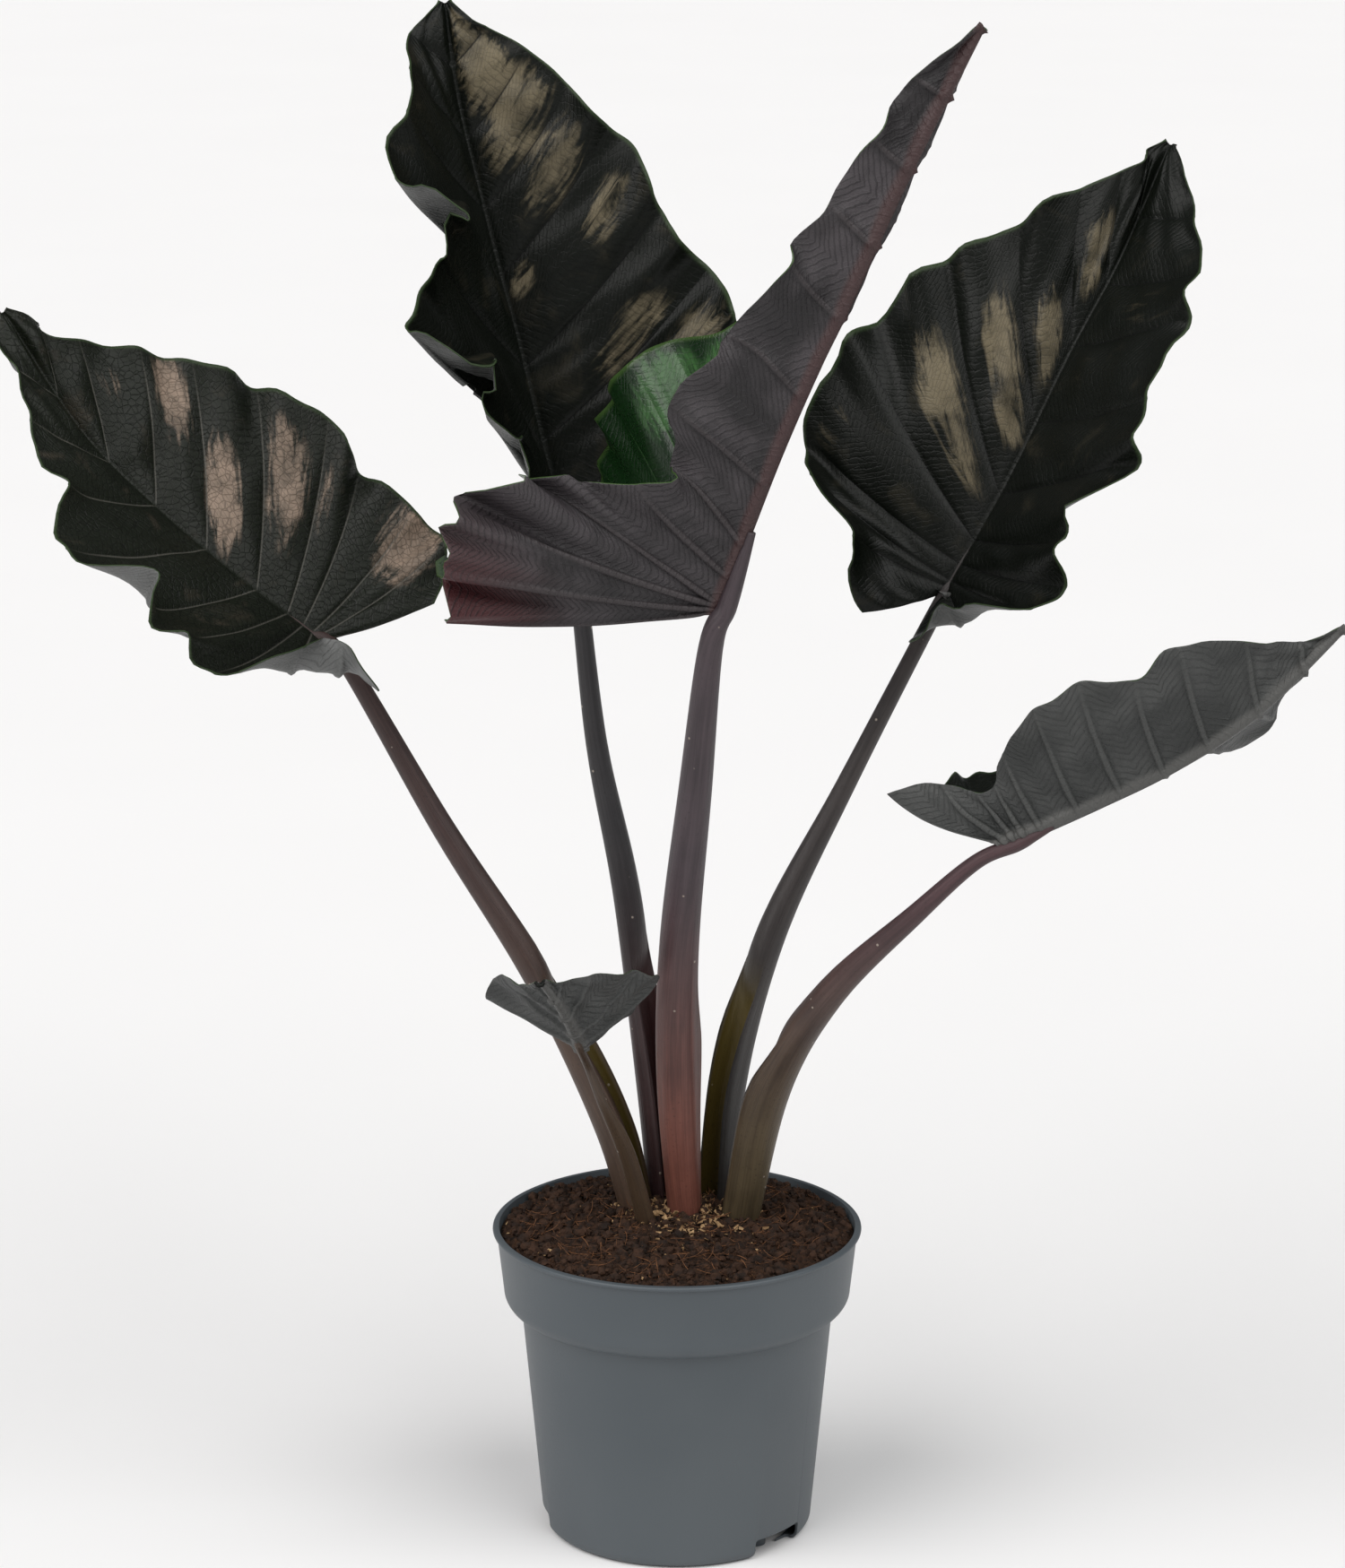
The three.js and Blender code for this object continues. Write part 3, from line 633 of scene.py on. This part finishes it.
def blade(name, leaf, seed, upper, under):
    """A leaf blade, swollen between its sunken ribs, with the ribs standing out on its underside."""
    random = np.random.default_rng(seed)
    last = len(leaf["ribs"]) - 1
    ribs = np.array([rib + step for rib in range(last) for step in RIB_STEPS] + [last], float)
    left, left_length = blade_side(leaf, ribs, -1, random)
    right, right_length = blade_side(leaf, ribs, 1, random)
    sheet = np.concatenate([left[:, :0:-1], right], axis=1)
    reach = np.arange(-REACH_STEPS, REACH_STEPS + 1) / REACH_STEPS
    run = np.abs(reach) * np.where(reach < 0, left_length[:, None], right_length[:, None])

    # Which vein each point is nearest to, and how far away that lies.
    veins = leaf.get("veins", range(last + 1))
    order = np.interp(ribs, veins, range(len(veins)))
    spread = np.interp(ribs, [(a + b) / 2 for a, b in zip(veins, veins[1:])], np.diff(veins))
    stretch = np.linalg.norm(np.gradient(sheet, axis=0), axis=-1) / np.gradient(ribs)[:, None]
    stretch = np.minimum(stretch * spread[:, None], 60)
    off_vein = np.abs(order - np.round(order))[:, None]
    gap = off_vein * stretch

    forward = np.gradient(sheet, axis=0)
    outward = np.gradient(sheet, axis=1)
    normal = unit(np.cross(outward, forward) + 1e-9)
    side = np.abs(reach)[None, :]
    swell = 2.2 * np.sin(math.pi * off_vein) ** 0.8 * np.clip(stretch / 30, 0.1, 1.3)
    swell = swell * smoothstep(side, 0.02, 0.3) * (1 - smoothstep(side, 0.55, 1))
    groove = 0.7 * np.exp(-((gap / 1.3) ** 2)) * smoothstep(side, 0, 0.08) * (1 - 0.9 * side)
    valley = 0.9 * np.exp(-((run / 2.2) ** 2))
    pucker = np.zeros(sheet.shape[:2])
    for _ in range(14):
        across, down = random.uniform(2, 11), random.uniform(3, 19)
        phase = across * ribs[:, None] + down * reach[None, :] + random.uniform(0, 7)
        pucker += np.sin(phase) / (across + down)
    pucker = pucker * 2.6 * smoothstep(side, 0, 0.25) * np.clip(stretch / 25, 0, 1)
    sheet = sheet + normal * (swell - groove - valley + pucker)[..., None]

    # Where a sheen is painted on the upper side, standing for the light catching the swellings most, and
    # where an underside's blush lies.
    glow = np.zeros(sheet.shape[:2])
    for at_rib, at_reach, wide, long, strength in leaf.get("sheen", []):
        near = ((ribs - at_rib) / wide)[:, None] ** 2 + ((reach - at_reach) / long)[None, :] ** 2
        glow = np.maximum(glow, strength * np.exp(-(near**1.5)))
    sheet[..., 2] += PLANT_LEVEL

    deselect()
    columns, rows = len(ribs) - 1, len(reach) - 1
    bpy.ops.mesh.primitive_grid_add(x_subdivisions=columns, y_subdivisions=rows, size=2)
    piece = named(f"leaf_blade_{name}")
    flat = points_of(piece)
    i = np.rint((flat[:, 0] + 1) / 2 * columns).astype(int)
    j = np.rint((1 - flat[:, 1]) / 2 * rows).astype(int)
    place_points(piece, sheet[i, j] * MM)
    uv_map(piece, "veins", np.stack([gap[i, j], run[i, j]], axis=1) * MM)
    uv_map(piece, "place", np.stack([glow[i, j], np.abs(reach[j])], axis=1))

    # The blade's thickness as a share of its thickest: the midrib, then the ribs, then the skin.
    taper = 1 - 0.75 * (ribs / last)[:, None]
    ridge = RIB_SHARE * np.exp(-((gap / 1.1) ** 2)) * (1 - 0.8 * side) * smoothstep(side, 0, 0.05)
    spine = MIDRIB_SHARE * np.exp(-((run / 2.6) ** 2)) * taper
    weights = np.clip(SKIN_SHARE + ridge + spine, 0, 1)[i, j]
    thickness = piece.vertex_groups.new(name="thickness")
    for index, weight in enumerate(weights):
        thickness.add([index], float(weight), "REPLACE")
    piece.data.materials.append(upper)
    piece.data.materials.append(under)
    modify(
        piece, "SOLIDIFY", thickness=BLADE_DEPTH * MM * leaf.get("body", 1), offset=-1,
        vertex_group="thickness", use_rim=True, material_offset=1, material_offset_rim=0,
    )
    only(piece)
    bpy.ops.object.shade_smooth()
    return finish_piece(piece, "blade_skin", f"blade_{name}")


# Petioles

def petiole(name, leaf, skin):
    """A stalk that is round above and opens into a sheath below, and runs on under the midrib."""
    seat, along, face, _ = midrib_at(leaf, np.array([0.0, 0.05, 0.11]))
    radii = np.array(leaf["radii"], float)
    tip = radii[-1]
    under = seat - face * (tip * np.array([1.2, 1.0, 0.75]))[:, None]
    points = [(*leaf["foot"], -5), *leaf["stalk"], under[0] - along[0] * 20, *under]
    sizes = [*radii[: len(leaf["stalk"]) + 1], radii[-2], tip, tip * 0.8, tip * 0.45]
    places = np.linspace(0, len(points) - 1, STALK_RINGS)
    line = through(points, places)
    size = through(sizes, places)
    ahead = unit(np.gradient(line, axis=0))
    heart = np.array([*CORM["centre"], 0])
    inward = heart - line
    inward[:, 2] = 0
    inward = unit(inward) * 0.7 + np.array([0.12, -0.1, 0.8])
    inward = unit(inward - ahead * (inward * ahead).sum(-1, keepdims=True))
    aside = np.cross(ahead, inward)

    # The section: half of its points go round the outside and the rest line the sheath.
    opening = 1 - smoothstep(line[:, 2], leaf["sheath"] * 0.3, leaf["sheath"])
    wing = opening * (1 - opening * 0.75) * 1.9
    around = np.linspace(-1, 1, OUTSIDE_POINTS)
    back = np.linspace(1, -1, LINING_POINTS + 2)[1:-1]
    round_angle = np.concatenate([around * 115, 180 * np.sign(back) - back * 65])
    open_outer = around[None, :] * (115 + 30 * opening[:, None])
    open_inner = back[None, :] * (100 + 38 * opening[:, None])
    thin = 0.42 - 0.3 * np.abs(back[None, :]) ** 1.5
    flare = [1 + wing[:, None] * 0.42 * smoothstep(np.abs(way[None, :]), 0.72, 1) for way in (around, back)]

    def ring(angle, radius):
        angle = np.radians(angle)
        return np.stack([-np.cos(angle) * radius, np.sin(angle) * radius], axis=-1)

    closed = ring(round_angle, 1.0)[None]
    opened = np.concatenate([ring(open_outer, flare[0]), ring(open_inner, flare[1] - thin)], axis=1)
    # A deep groove first, then the sheath's wide channel.
    section = closed + (opened - closed) * smoothstep(opening, 0.02, 0.6)[:, None, None]
    section = section * size[:, None, None]
    skin_points = line[:, None] + inward[:, None] * section[..., :1] + aside[:, None] * section[..., 1:]
    skin_points[..., 2] += PLANT_LEVEL
    count = OUTSIDE_POINTS + LINING_POINTS

    piece, level = rod(f"leaf_stalk_{name}", count, STALK_RINGS)
    flat = points_of(piece)
    turn = np.rint(np.arctan2(flat[:, 0], flat[:, 1]) / math.tau * count).astype(int) % count
    place_points(piece, skin_points[level, turn] * MM)
    inside = (turn >= OUTSIDE_POINTS) * smoothstep(opening, 0.1, 0.5)[level]
    length = np.concatenate([[0], np.cumsum(np.linalg.norm(np.diff(line, axis=0), axis=1))]) * MM
    uv_map(piece, "skin", np.stack([inside, level / STALK_RINGS], axis=1))
    lap = np.minimum(turn, count - turn) / count * 2
    uv_map(piece, "wrap", np.stack([lap, length[level]], axis=1))
    face_out(piece)
    bpy.ops.object.shade_smooth()
    return finish_piece(piece, "petiole_skin", f"petiole_{name}", material=skin)


# Pot

def arc(centre, radius, start, end, steps):
    angles = np.radians(np.linspace(start, end, steps + 1))
    return [(centre[0] + radius * math.cos(a), centre[1] + radius * math.sin(a)) for a in angles]


COLLAR_FOOT = POT["height"] - POT["collar_height"]
COLLAR_FOOT_RADIUS = POT["body_top_radius"] + POT["cove_radius"]


def body_radius(height):
    slope = (POT["body_top_radius"] - POT["base_radius"]) / (COLLAR_FOOT - POT["cove_radius"])
    return POT["base_radius"] + slope * height


def pot_side(inset, bottom, top):
    """The pot's side from a low height to a high one, moved inwards by inset."""
    cove = arc((POT["body_top_radius"], COLLAR_FOOT), POT["cove_radius"] - inset, -90, 0, 12)
    top_radius = COLLAR_FOOT_RADIUS + POT["collar_taper"] * (top - COLLAR_FOOT) / POT["collar_height"]
    start = (body_radius(bottom) - inset, bottom)
    return [start, (POT["body_top_radius"] - inset, cove[0][1]), *cove, (top_radius - inset, top)]


def turned(name, profile, sides):
    """A shape drawn round the vertical axis: a first ring, extruded and sized ring after ring."""
    deselect()
    radius, height = profile[0]
    bpy.ops.mesh.primitive_circle_add(
        vertices=sides, radius=radius * MM, fill_type="NGON", location=(0, 0, height * MM)
    )
    piece = named(name)
    bpy.ops.object.mode_set(mode="EDIT")
    bpy.ops.mesh.select_mode(type="EDGE")
    bpy.ops.mesh.select_all(action="SELECT")
    for (before, low), (radius, height) in zip(profile, profile[1:]):
        bpy.ops.mesh.extrude_edges_move(TRANSFORM_OT_translate={"value": (0, 0, (height - low) * MM)})
        share = radius / before
        bpy.ops.transform.resize(value=(share, share, 1))
    bpy.ops.mesh.edge_face_add()
    bpy.ops.object.mode_set(mode="OBJECT")
    face_out(piece)
    return settle(piece)


def spot_around(place, far, height=0):
    """A spot in metres at a compass place, far from the axis. Place 0 is at the front."""
    turn = math.radians(place)
    return math.sin(turn) * far * MM, -math.cos(turn) * far * MM, height * MM


def make_pot(plastic):
    floor_top = POT["floor_height"] + POT["floor_thickness"]
    round_lip = POT["lip_height"] / 2
    lip_radius = COLLAR_FOOT_RADIUS + POT["collar_taper"] + POT["lip_overhang"]
    lip = arc((lip_radius - round_lip, POT["height"] - round_lip), round_lip, -90, 90, 10)
    inside = pot_side(POT["wall"], floor_top, POT["height"] - 0.01)[::-1]
    corner = (body_radius(POT["base_round"]) - POT["base_round"], POT["base_round"])
    ring = corner[0] - POT["standing_ring"]
    profile = [
        (POT["boss_radius"], 0),
        (POT["boss_radius"] + POT["boss_draft"], POT["floor_height"]),
        (body_radius(POT["floor_height"]) - POT["wall"], POT["floor_height"]),
        *arc(corner, POT["base_round"] - POT["wall"], 0, -90, 8),
        (ring, POT["wall"]),
        (ring, 0),
        *arc(corner, POT["base_round"], -90, 0, 10),
        *pot_side(0, POT["base_round"], POT["height"] - POT["lip_height"])[1:],
        *lip,
        *inside,
    ]
    piece = turned("nursery_pot", profile, POT["sides"])
    for place in NOTCH["places"]:
        deselect()
        spot = spot_around(place, POT["base_radius"])
        bpy.ops.mesh.primitive_cube_add(size=1, location=spot, rotation=(0, 0, math.radians(place)))
        tool = named("notch_tool")
        depth = 2 * (POT["base_round"] + POT["standing_ring"])
        tool.scale = Vector((NOTCH["width"], depth, 2 * NOTCH["height"])) * MM
        settle(tool)
        modify(tool, "BEVEL", width=1.6 * MM, segments=4)
        modify(piece, "BOOLEAN", object=tool, operation="DIFFERENCE", solver="EXACT")
        bpy.data.objects.remove(tool)
    for place in NOTCH["places"]:
        deselect()
        high = POT["floor_height"] + POT["floor_thickness"] / 2
        bpy.ops.mesh.primitive_cylinder_add(
            vertices=40, radius=NOTCH["foot_radius"] * MM, depth=high * MM,
            location=spot_around(place, ring - NOTCH["foot_setback"], high / 2),
        )
        foot = settle(named("foot_tool"))
        modify(piece, "BOOLEAN", object=foot, operation="UNION", solver="EXACT")
        bpy.data.objects.remove(foot)
    modify(piece, "BEVEL", width=0.35 * MM, segments=2, limit_method="ANGLE", angle_limit=math.radians(50))
    only(piece)
    bpy.ops.object.shade_smooth_by_angle(angle=math.radians(32))
    return finish_piece(piece, "pot_plastic", "pot", material=plastic)


# Soil and corm

def soil_height(x, y):
    """The soil's surface above its edge level, in millimetres."""
    radius = pot_side(POT["wall"] + SOIL["gap"], 0, SOIL_LEVEL)[-1][0]
    share = np.hypot(x, y) / radius
    mound = SOIL["mound"] * np.cos(np.clip(share, 0, 1) * math.pi / 2)
    near = np.hypot(x - CORM["centre"][0], y - CORM["centre"][1])
    full = 1.6 * smoothstep(share, 0.5, 0.85) * (1 - smoothstep(share, 0.96, 1))
    return mound + full + 2.2 * (1 - smoothstep(near, 8, 38))


def make_soil(peat):
    bottom = POT["floor_height"] + POT["floor_thickness"] + SOIL["gap"]
    side = pot_side(POT["wall"] + SOIL["gap"], bottom, SOIL_LEVEL)
    edge = side[-1][0]
    deselect()
    bpy.ops.mesh.primitive_grid_add(x_subdivisions=SOIL["cells"], y_subdivisions=SOIL["cells"], size=2)
    piece = named("potting_soil")
    flat = points_of(piece)
    x, y = flat[:, 0], flat[:, 1]
    disc_x = x * np.sqrt(1 - y * y / 2) * edge
    disc_y = y * np.sqrt(1 - x * x / 2) * edge
    top = SOIL_LEVEL + soil_height(disc_x, disc_y)
    place_points(piece, np.stack([disc_x, disc_y, top], axis=1) * MM)
    rim = piece.vertex_groups.new(name="crumbly")
    for index, far in enumerate(np.hypot(disc_x, disc_y) / edge):
        rim.add([index], float(1 - smoothstep(far, 0.98, 0.999)), "REPLACE")
    for kind, scale, strength in (("CLOUDS", 9, 4.6), ("CLOUDS", 3.4, 4), ("VORONOI", 2.2, -2)):
        crumb = bpy.data.textures.new("crumb", kind)
        crumb.noise_scale = scale * MM
        modify(
            piece, "DISPLACE", texture=crumb, texture_coords="GLOBAL", strength=strength * MM,
            mid_level=0.5, vertex_group="crumbly", direction="Z" if kind == "CLOUDS" else "NORMAL",
        )
    bpy.ops.object.mode_set(mode="EDIT")
    bpy.ops.mesh.select_mode(type="EDGE")
    bpy.ops.mesh.select_all(action="SELECT")
    bpy.ops.mesh.region_to_loop()
    heights = [point[1] for point in side[::-1]]
    radii = [point[0] for point in side[::-1]]
    for before, after, low in zip(radii, radii[1:], np.diff(heights)):
        bpy.ops.mesh.extrude_edges_move(TRANSFORM_OT_translate={"value": (0, 0, low * MM)})
        bpy.ops.transform.resize(value=(after / before, after / before, 1))
    bpy.ops.mesh.edge_face_add()
    bpy.ops.object.mode_set(mode="OBJECT")
    face_out(piece)
    bpy.ops.object.shade_smooth()
    return finish_piece(piece, "soil", "soil", material=peat)


def scatter(name, shapes, spots, material, slot):
    """Many small copies of a few shapes, each turned and sized, as one mesh."""
    points, faces, total = [], [], 0
    for shape, place, turn, size in spots:
        corners, polygons = shapes[shape]
        points.append(corners @ turn.T * size + place)
        faces += [[corner + total for corner in polygon] for polygon in polygons]
        total += len(corners)
    mesh = bpy.data.meshes.new(name)
    mesh.from_pydata((np.concatenate(points) * MM).tolist(), [], faces)
    piece = bpy.data.objects.new(name, mesh)
    bpy.context.scene.collection.objects.link(piece)
    return finish_piece(piece, slot, material=material)


def shape_of(piece):
    """A piece's corners and faces, and the piece is then gone."""
    found = points_of(piece), [list(face.vertices) for face in piece.data.polygons]
    bpy.data.objects.remove(piece)
    return found


def any_turn(random, flat=1.0):
    """A random turn, mostly about the vertical when flat is small."""
    a, b, c = random.uniform(0, math.tau), random.normal(0, flat), random.normal(0, flat)
    rz = np.array([[math.cos(a), -math.sin(a), 0], [math.sin(a), math.cos(a), 0], [0, 0, 1]])
    rx = np.array([[1, 0, 0], [0, math.cos(b), -math.sin(b)], [0, math.sin(b), math.cos(b)]])
    ry = np.array([[math.cos(c), 0, math.sin(c)], [0, 1, 0], [-math.sin(c), 0, math.cos(c)]])
    return rz @ rx @ ry


def crumb_shapes(random, count):
    shapes = []
    for _ in range(count):
        deselect()
        bpy.ops.mesh.primitive_ico_sphere_add(subdivisions=2, radius=1)
        piece = named("crumb")
        points = points_of(piece)
        points *= 1 + random.normal(0, 0.16, (len(points), 1))
        place_points(piece, points * random.uniform(0.6, 1.2, 3))
        shapes.append(shape_of(piece))
    return shapes


def chip_shapes(random, count):
    shapes = []
    for _ in range(count):
        deselect()
        bpy.ops.mesh.primitive_cube_add(size=1)
        piece = named("chip")
        place_points(piece, points_of(piece) * (1, 0.42, 0.14) + random.normal(0, 0.09, (8, 3)))
        modify(piece, "BEVEL", width=0.06, segments=1)
        shapes.append(shape_of(piece))
    return shapes


def fibre_shapes(random, count):
    """Thin bent threads about one unit long."""
    shapes = []
    for _ in range(count):
        steps, sides = 9, 4
        t = np.linspace(-0.5, 0.5, steps)
        bend = random.normal(0, 0.35, 4)
        line = np.stack([t, bend[0] * (t**2) + bend[1] * t**3 * 2, bend[2] * t**2 + bend[3] * t**3], axis=1)
        piece, level = rod("fibre", sides, steps, 0.013)
        points = points_of(piece)
        moved = line[level] + np.stack([points[:, 2] * 0, points[:, 0], points[:, 1]], axis=1)
        place_points(piece, moved)
        shapes.append(shape_of(piece))
    return shapes


def soil_spots(random, count, shapes, low, high, near=None, sink=0.3, flat=0.4):
    """Random spots on the soil between two sizes, spread all over it or gathered about the corm."""
    edge = pot_side(POT["wall"] + SOIL["gap"], 0, SOIL_LEVEL)[-1][0]
    spots = []
    while len(spots) < count:
        size = low + (high - low) * random.random() ** 2
        if near:
            x, y = random.normal(CORM["centre"][0], near), random.normal(CORM["centre"][1] - 12, near)
        else:
            x, y = random.uniform(-edge, edge, 2)
        if np.hypot(x, y) > edge - size:
            continue
        z = SOIL_LEVEL + float(soil_height(x, y)) + size * sink
        turn = any_turn(random, flat)
        spots.append((int(random.integers(shapes)), np.array([x, y, z]), turn, size))
    return spots


def soil_litter():
    """Loose crumbs, coir fibres and the pale chips round the stalks."""
    random = np.random.default_rng(7)
    crumbs = crumb_shapes(random, 5)
    peat = fleck_finish("peat_crumb", (0.005, 0.003, 0.002), (0.052, 0.023, 0.011), 0.75)
    scatter("soil_crumbs", crumbs, soil_spots(random, 2300, len(crumbs), 0.5, 2.6, flat=2), peat, "soil")
    coir = fleck_finish("coir_fibre", (0.03, 0.012, 0.005), (0.24, 0.105, 0.045), 0.7)
    fibres = fibre_shapes(random, 6)
    spots = soil_spots(random, 750, len(fibres), 4, 15, sink=0.1, flat=0.3)
    scatter("coir_fibres", fibres, spots, coir, "soil")
    bark = fleck_finish("bark_chip", (0.16, 0.085, 0.035), (0.5, 0.33, 0.17), 0.65)
    chips = chip_shapes(random, 6)
    spots = soil_spots(random, 460, len(chips), 1.0, 3.6, near=15, sink=0.45, flat=0.7)
    spots += soil_spots(random, 50, len(chips), 0.8, 2.4, sink=0.5, flat=0.6)
    scatter("bark_chips", chips, spots, bark, "soil")


def make_corm(fibre):
    """The corm under the stalks: ringed and rough, sunk in the soil."""
    deselect()
    x, y = CORM["centre"]
    bpy.ops.mesh.primitive_uv_sphere_add(segments=72, ring_count=48, radius=1)
    piece = named("corm_body")
    points = points_of(piece)
    angle = np.arctan2(points[:, 1], points[:, 0])
    rings = 1 + 0.02 * np.sin(points[:, 2] * 42) + 0.03 * np.sin(angle * 5 + points[:, 2] * 3)
    squash = np.where(points[:, 2] > 0, 0.32, 1.0)
    slim = np.full(len(points), 0.86)
    sized = points * rings[:, None] * np.stack([slim, slim, squash], axis=1)
    sized = sized * (CORM["radius"], CORM["radius"], CORM["depth"])
    middle = SOIL_LEVEL + SOIL["mound"] - 14
    place_points(piece, (sized + (x, y, middle)) * MM)
    settle(piece)
    bpy.ops.object.shade_smooth()
    return finish_piece(piece, "corm_fibre", "corm", material=fibre)


# The object

DEEP, RIM = (0.0035, 0.0048, 0.003), (0.03, 0.05, 0.02)
# Each upper side's second colour is the sheen painted where the light would catch it.
UPPER = upper_skin("blade_upper", DEEP, (0.165, 0.138, 0.088), (0.002, 0.0025, 0.002), RIM, 0.38)
UPPER_PALE = upper_skin(
    "blade_upper_pale_veined", (0.008, 0.0105, 0.006), (0.3, 0.225, 0.17), (0.085, 0.082, 0.07),
    RIM, 0.4, leather=0.7,
)
UPPER_YOUNG = upper_skin(
    "blade_upper_young", (0.004, 0.02, 0.004), (0.05, 0.14, 0.04), (0.04, 0.1, 0.03),
    (0.04, 0.08, 0.02), 0.28, specular=0.45,
)
GREY = under_skin(
    "blade_under_grey", (0.064, 0.066, 0.064), (0.026, 0.028, 0.027), (0.1, 0.102, 0.098),
    (0.08, 0.08, 0.076),
)
PURPLE = under_skin(
    "blade_under_purple", (0.058, 0.051, 0.055), (0.015, 0.0135, 0.0145), (0.07, 0.058, 0.06),
    (0.05, 0.027, 0.027), blush=(0.075, 0.02, 0.022),
)
# A paler copy of the grey underside: painted light, for the leaves whose rolled flaps face the lamps.
PAINTED_LIT_GREY = under_skin(
    "blade_under_painted_lit", (0.15, 0.153, 0.15), (0.08, 0.083, 0.08), (0.16, 0.163, 0.158),
    (0.1, 0.1, 0.096),
)
SKINS = {
    "left": (UPPER_PALE, PAINTED_LIT_GREY), "back": (UPPER, PAINTED_LIT_GREY), "right": (UPPER, PAINTED_LIT_GREY),
    "front": (UPPER_YOUNG, PURPLE), "low_right": (UPPER, GREY), "small": (UPPER, GREY),
}
# The stalks' colours at the foot, higher up and inside the sheath.
OLIVE, DARK_RED = (0.1, 0.072, 0.016), (0.035, 0.01, 0.01)
STALKS = {
    "left": ((0.085, 0.052, 0.033), (0.05, 0.026, 0.023), OLIVE),
    "back": ((0.07, 0.035, 0.035), (0.028, 0.026, 0.028), DARK_RED),
    "right": ((0.034, 0.031, 0.028), (0.042, 0.034, 0.032), OLIVE),
    "front": ((0.21, 0.075, 0.052), (0.06, 0.043, 0.05), OLIVE),
    "low_right": ((0.1, 0.075, 0.04), (0.065, 0.03, 0.034), OLIVE),
    "small": ((0.08, 0.05, 0.028), (0.06, 0.04, 0.03), OLIVE),
}
for seed, (leaf_name, leaf_shape) in enumerate(LEAVES.items()):
    blade(leaf_name, leaf_shape, seed + 1, *SKINS[leaf_name])
    petiole(leaf_name, leaf_shape, petiole_skin(f"stalk_skin_{leaf_name}", *STALKS[leaf_name]))
make_pot(pot_plastic())
make_soil(soil_finish())
make_corm(fleck_finish("corm_skin", (0.03, 0.018, 0.01), (0.16, 0.1, 0.06), 0.8))
soil_litter()


# Floor, lights and camera

def make_floor():
    deselect()
    bpy.ops.mesh.primitive_plane_add(size=60, location=(0, 0, 0))
    floor = named("studio_floor")
    floor.data.materials.append(floor_paper())


def sun(name, azimuth, elevation, strength, spread, tint):
    """A soft light from far away. Azimuth 0 is from the front, and 90 from the right."""
    lamp = bpy.data.lights.new(name, "SUN")
    lamp.energy, lamp.angle, lamp.color = strength, math.radians(spread), tint
    light = bpy.data.objects.new(name, lamp)
    turn, up = math.radians(azimuth), math.radians(elevation)
    toward = Vector((math.sin(turn) * math.cos(up), -math.cos(turn) * math.cos(up), math.sin(up)))
    light.rotation_euler = toward.to_track_quat("Z", "Y").to_euler()
    bpy.context.scene.collection.objects.link(light)


def studio():
    sun("soft_left", -55, 42, 2.2, 60, (1, 0.98, 0.97))
    sun("soft_right", 50, 50, 1.9, 60, (1, 0.99, 0.98))
    world = bpy.data.worlds.new("studio")
    world.use_nodes = True
    glow = world.node_tree.nodes["Background"].inputs
    glow["Color"].default_value, glow["Strength"].default_value = (0.95, 0.97, 1, 1), 0.18
    bpy.context.scene.world = world
    bpy.context.scene.view_settings.view_transform = "Standard"


def make_camera():
    """The camera looks down a little on the whole plant from the front."""
    pitch, place = 14.8, (-0.0021, -2.1873, 0.9326)
    data = bpy.data.cameras.new("front_view")
    data.sensor_width, data.lens = 36, 115.27
    data.clip_end = 100
    camera = bpy.data.objects.new("front_view", data)
    camera.location = place
    camera.rotation_euler = (math.radians(90 - pitch), 0, 0)
    bpy.context.scene.collection.objects.link(camera)
    bpy.context.scene.camera = camera


make_floor()
studio()
make_camera()
bpy.context.view_layer.update()
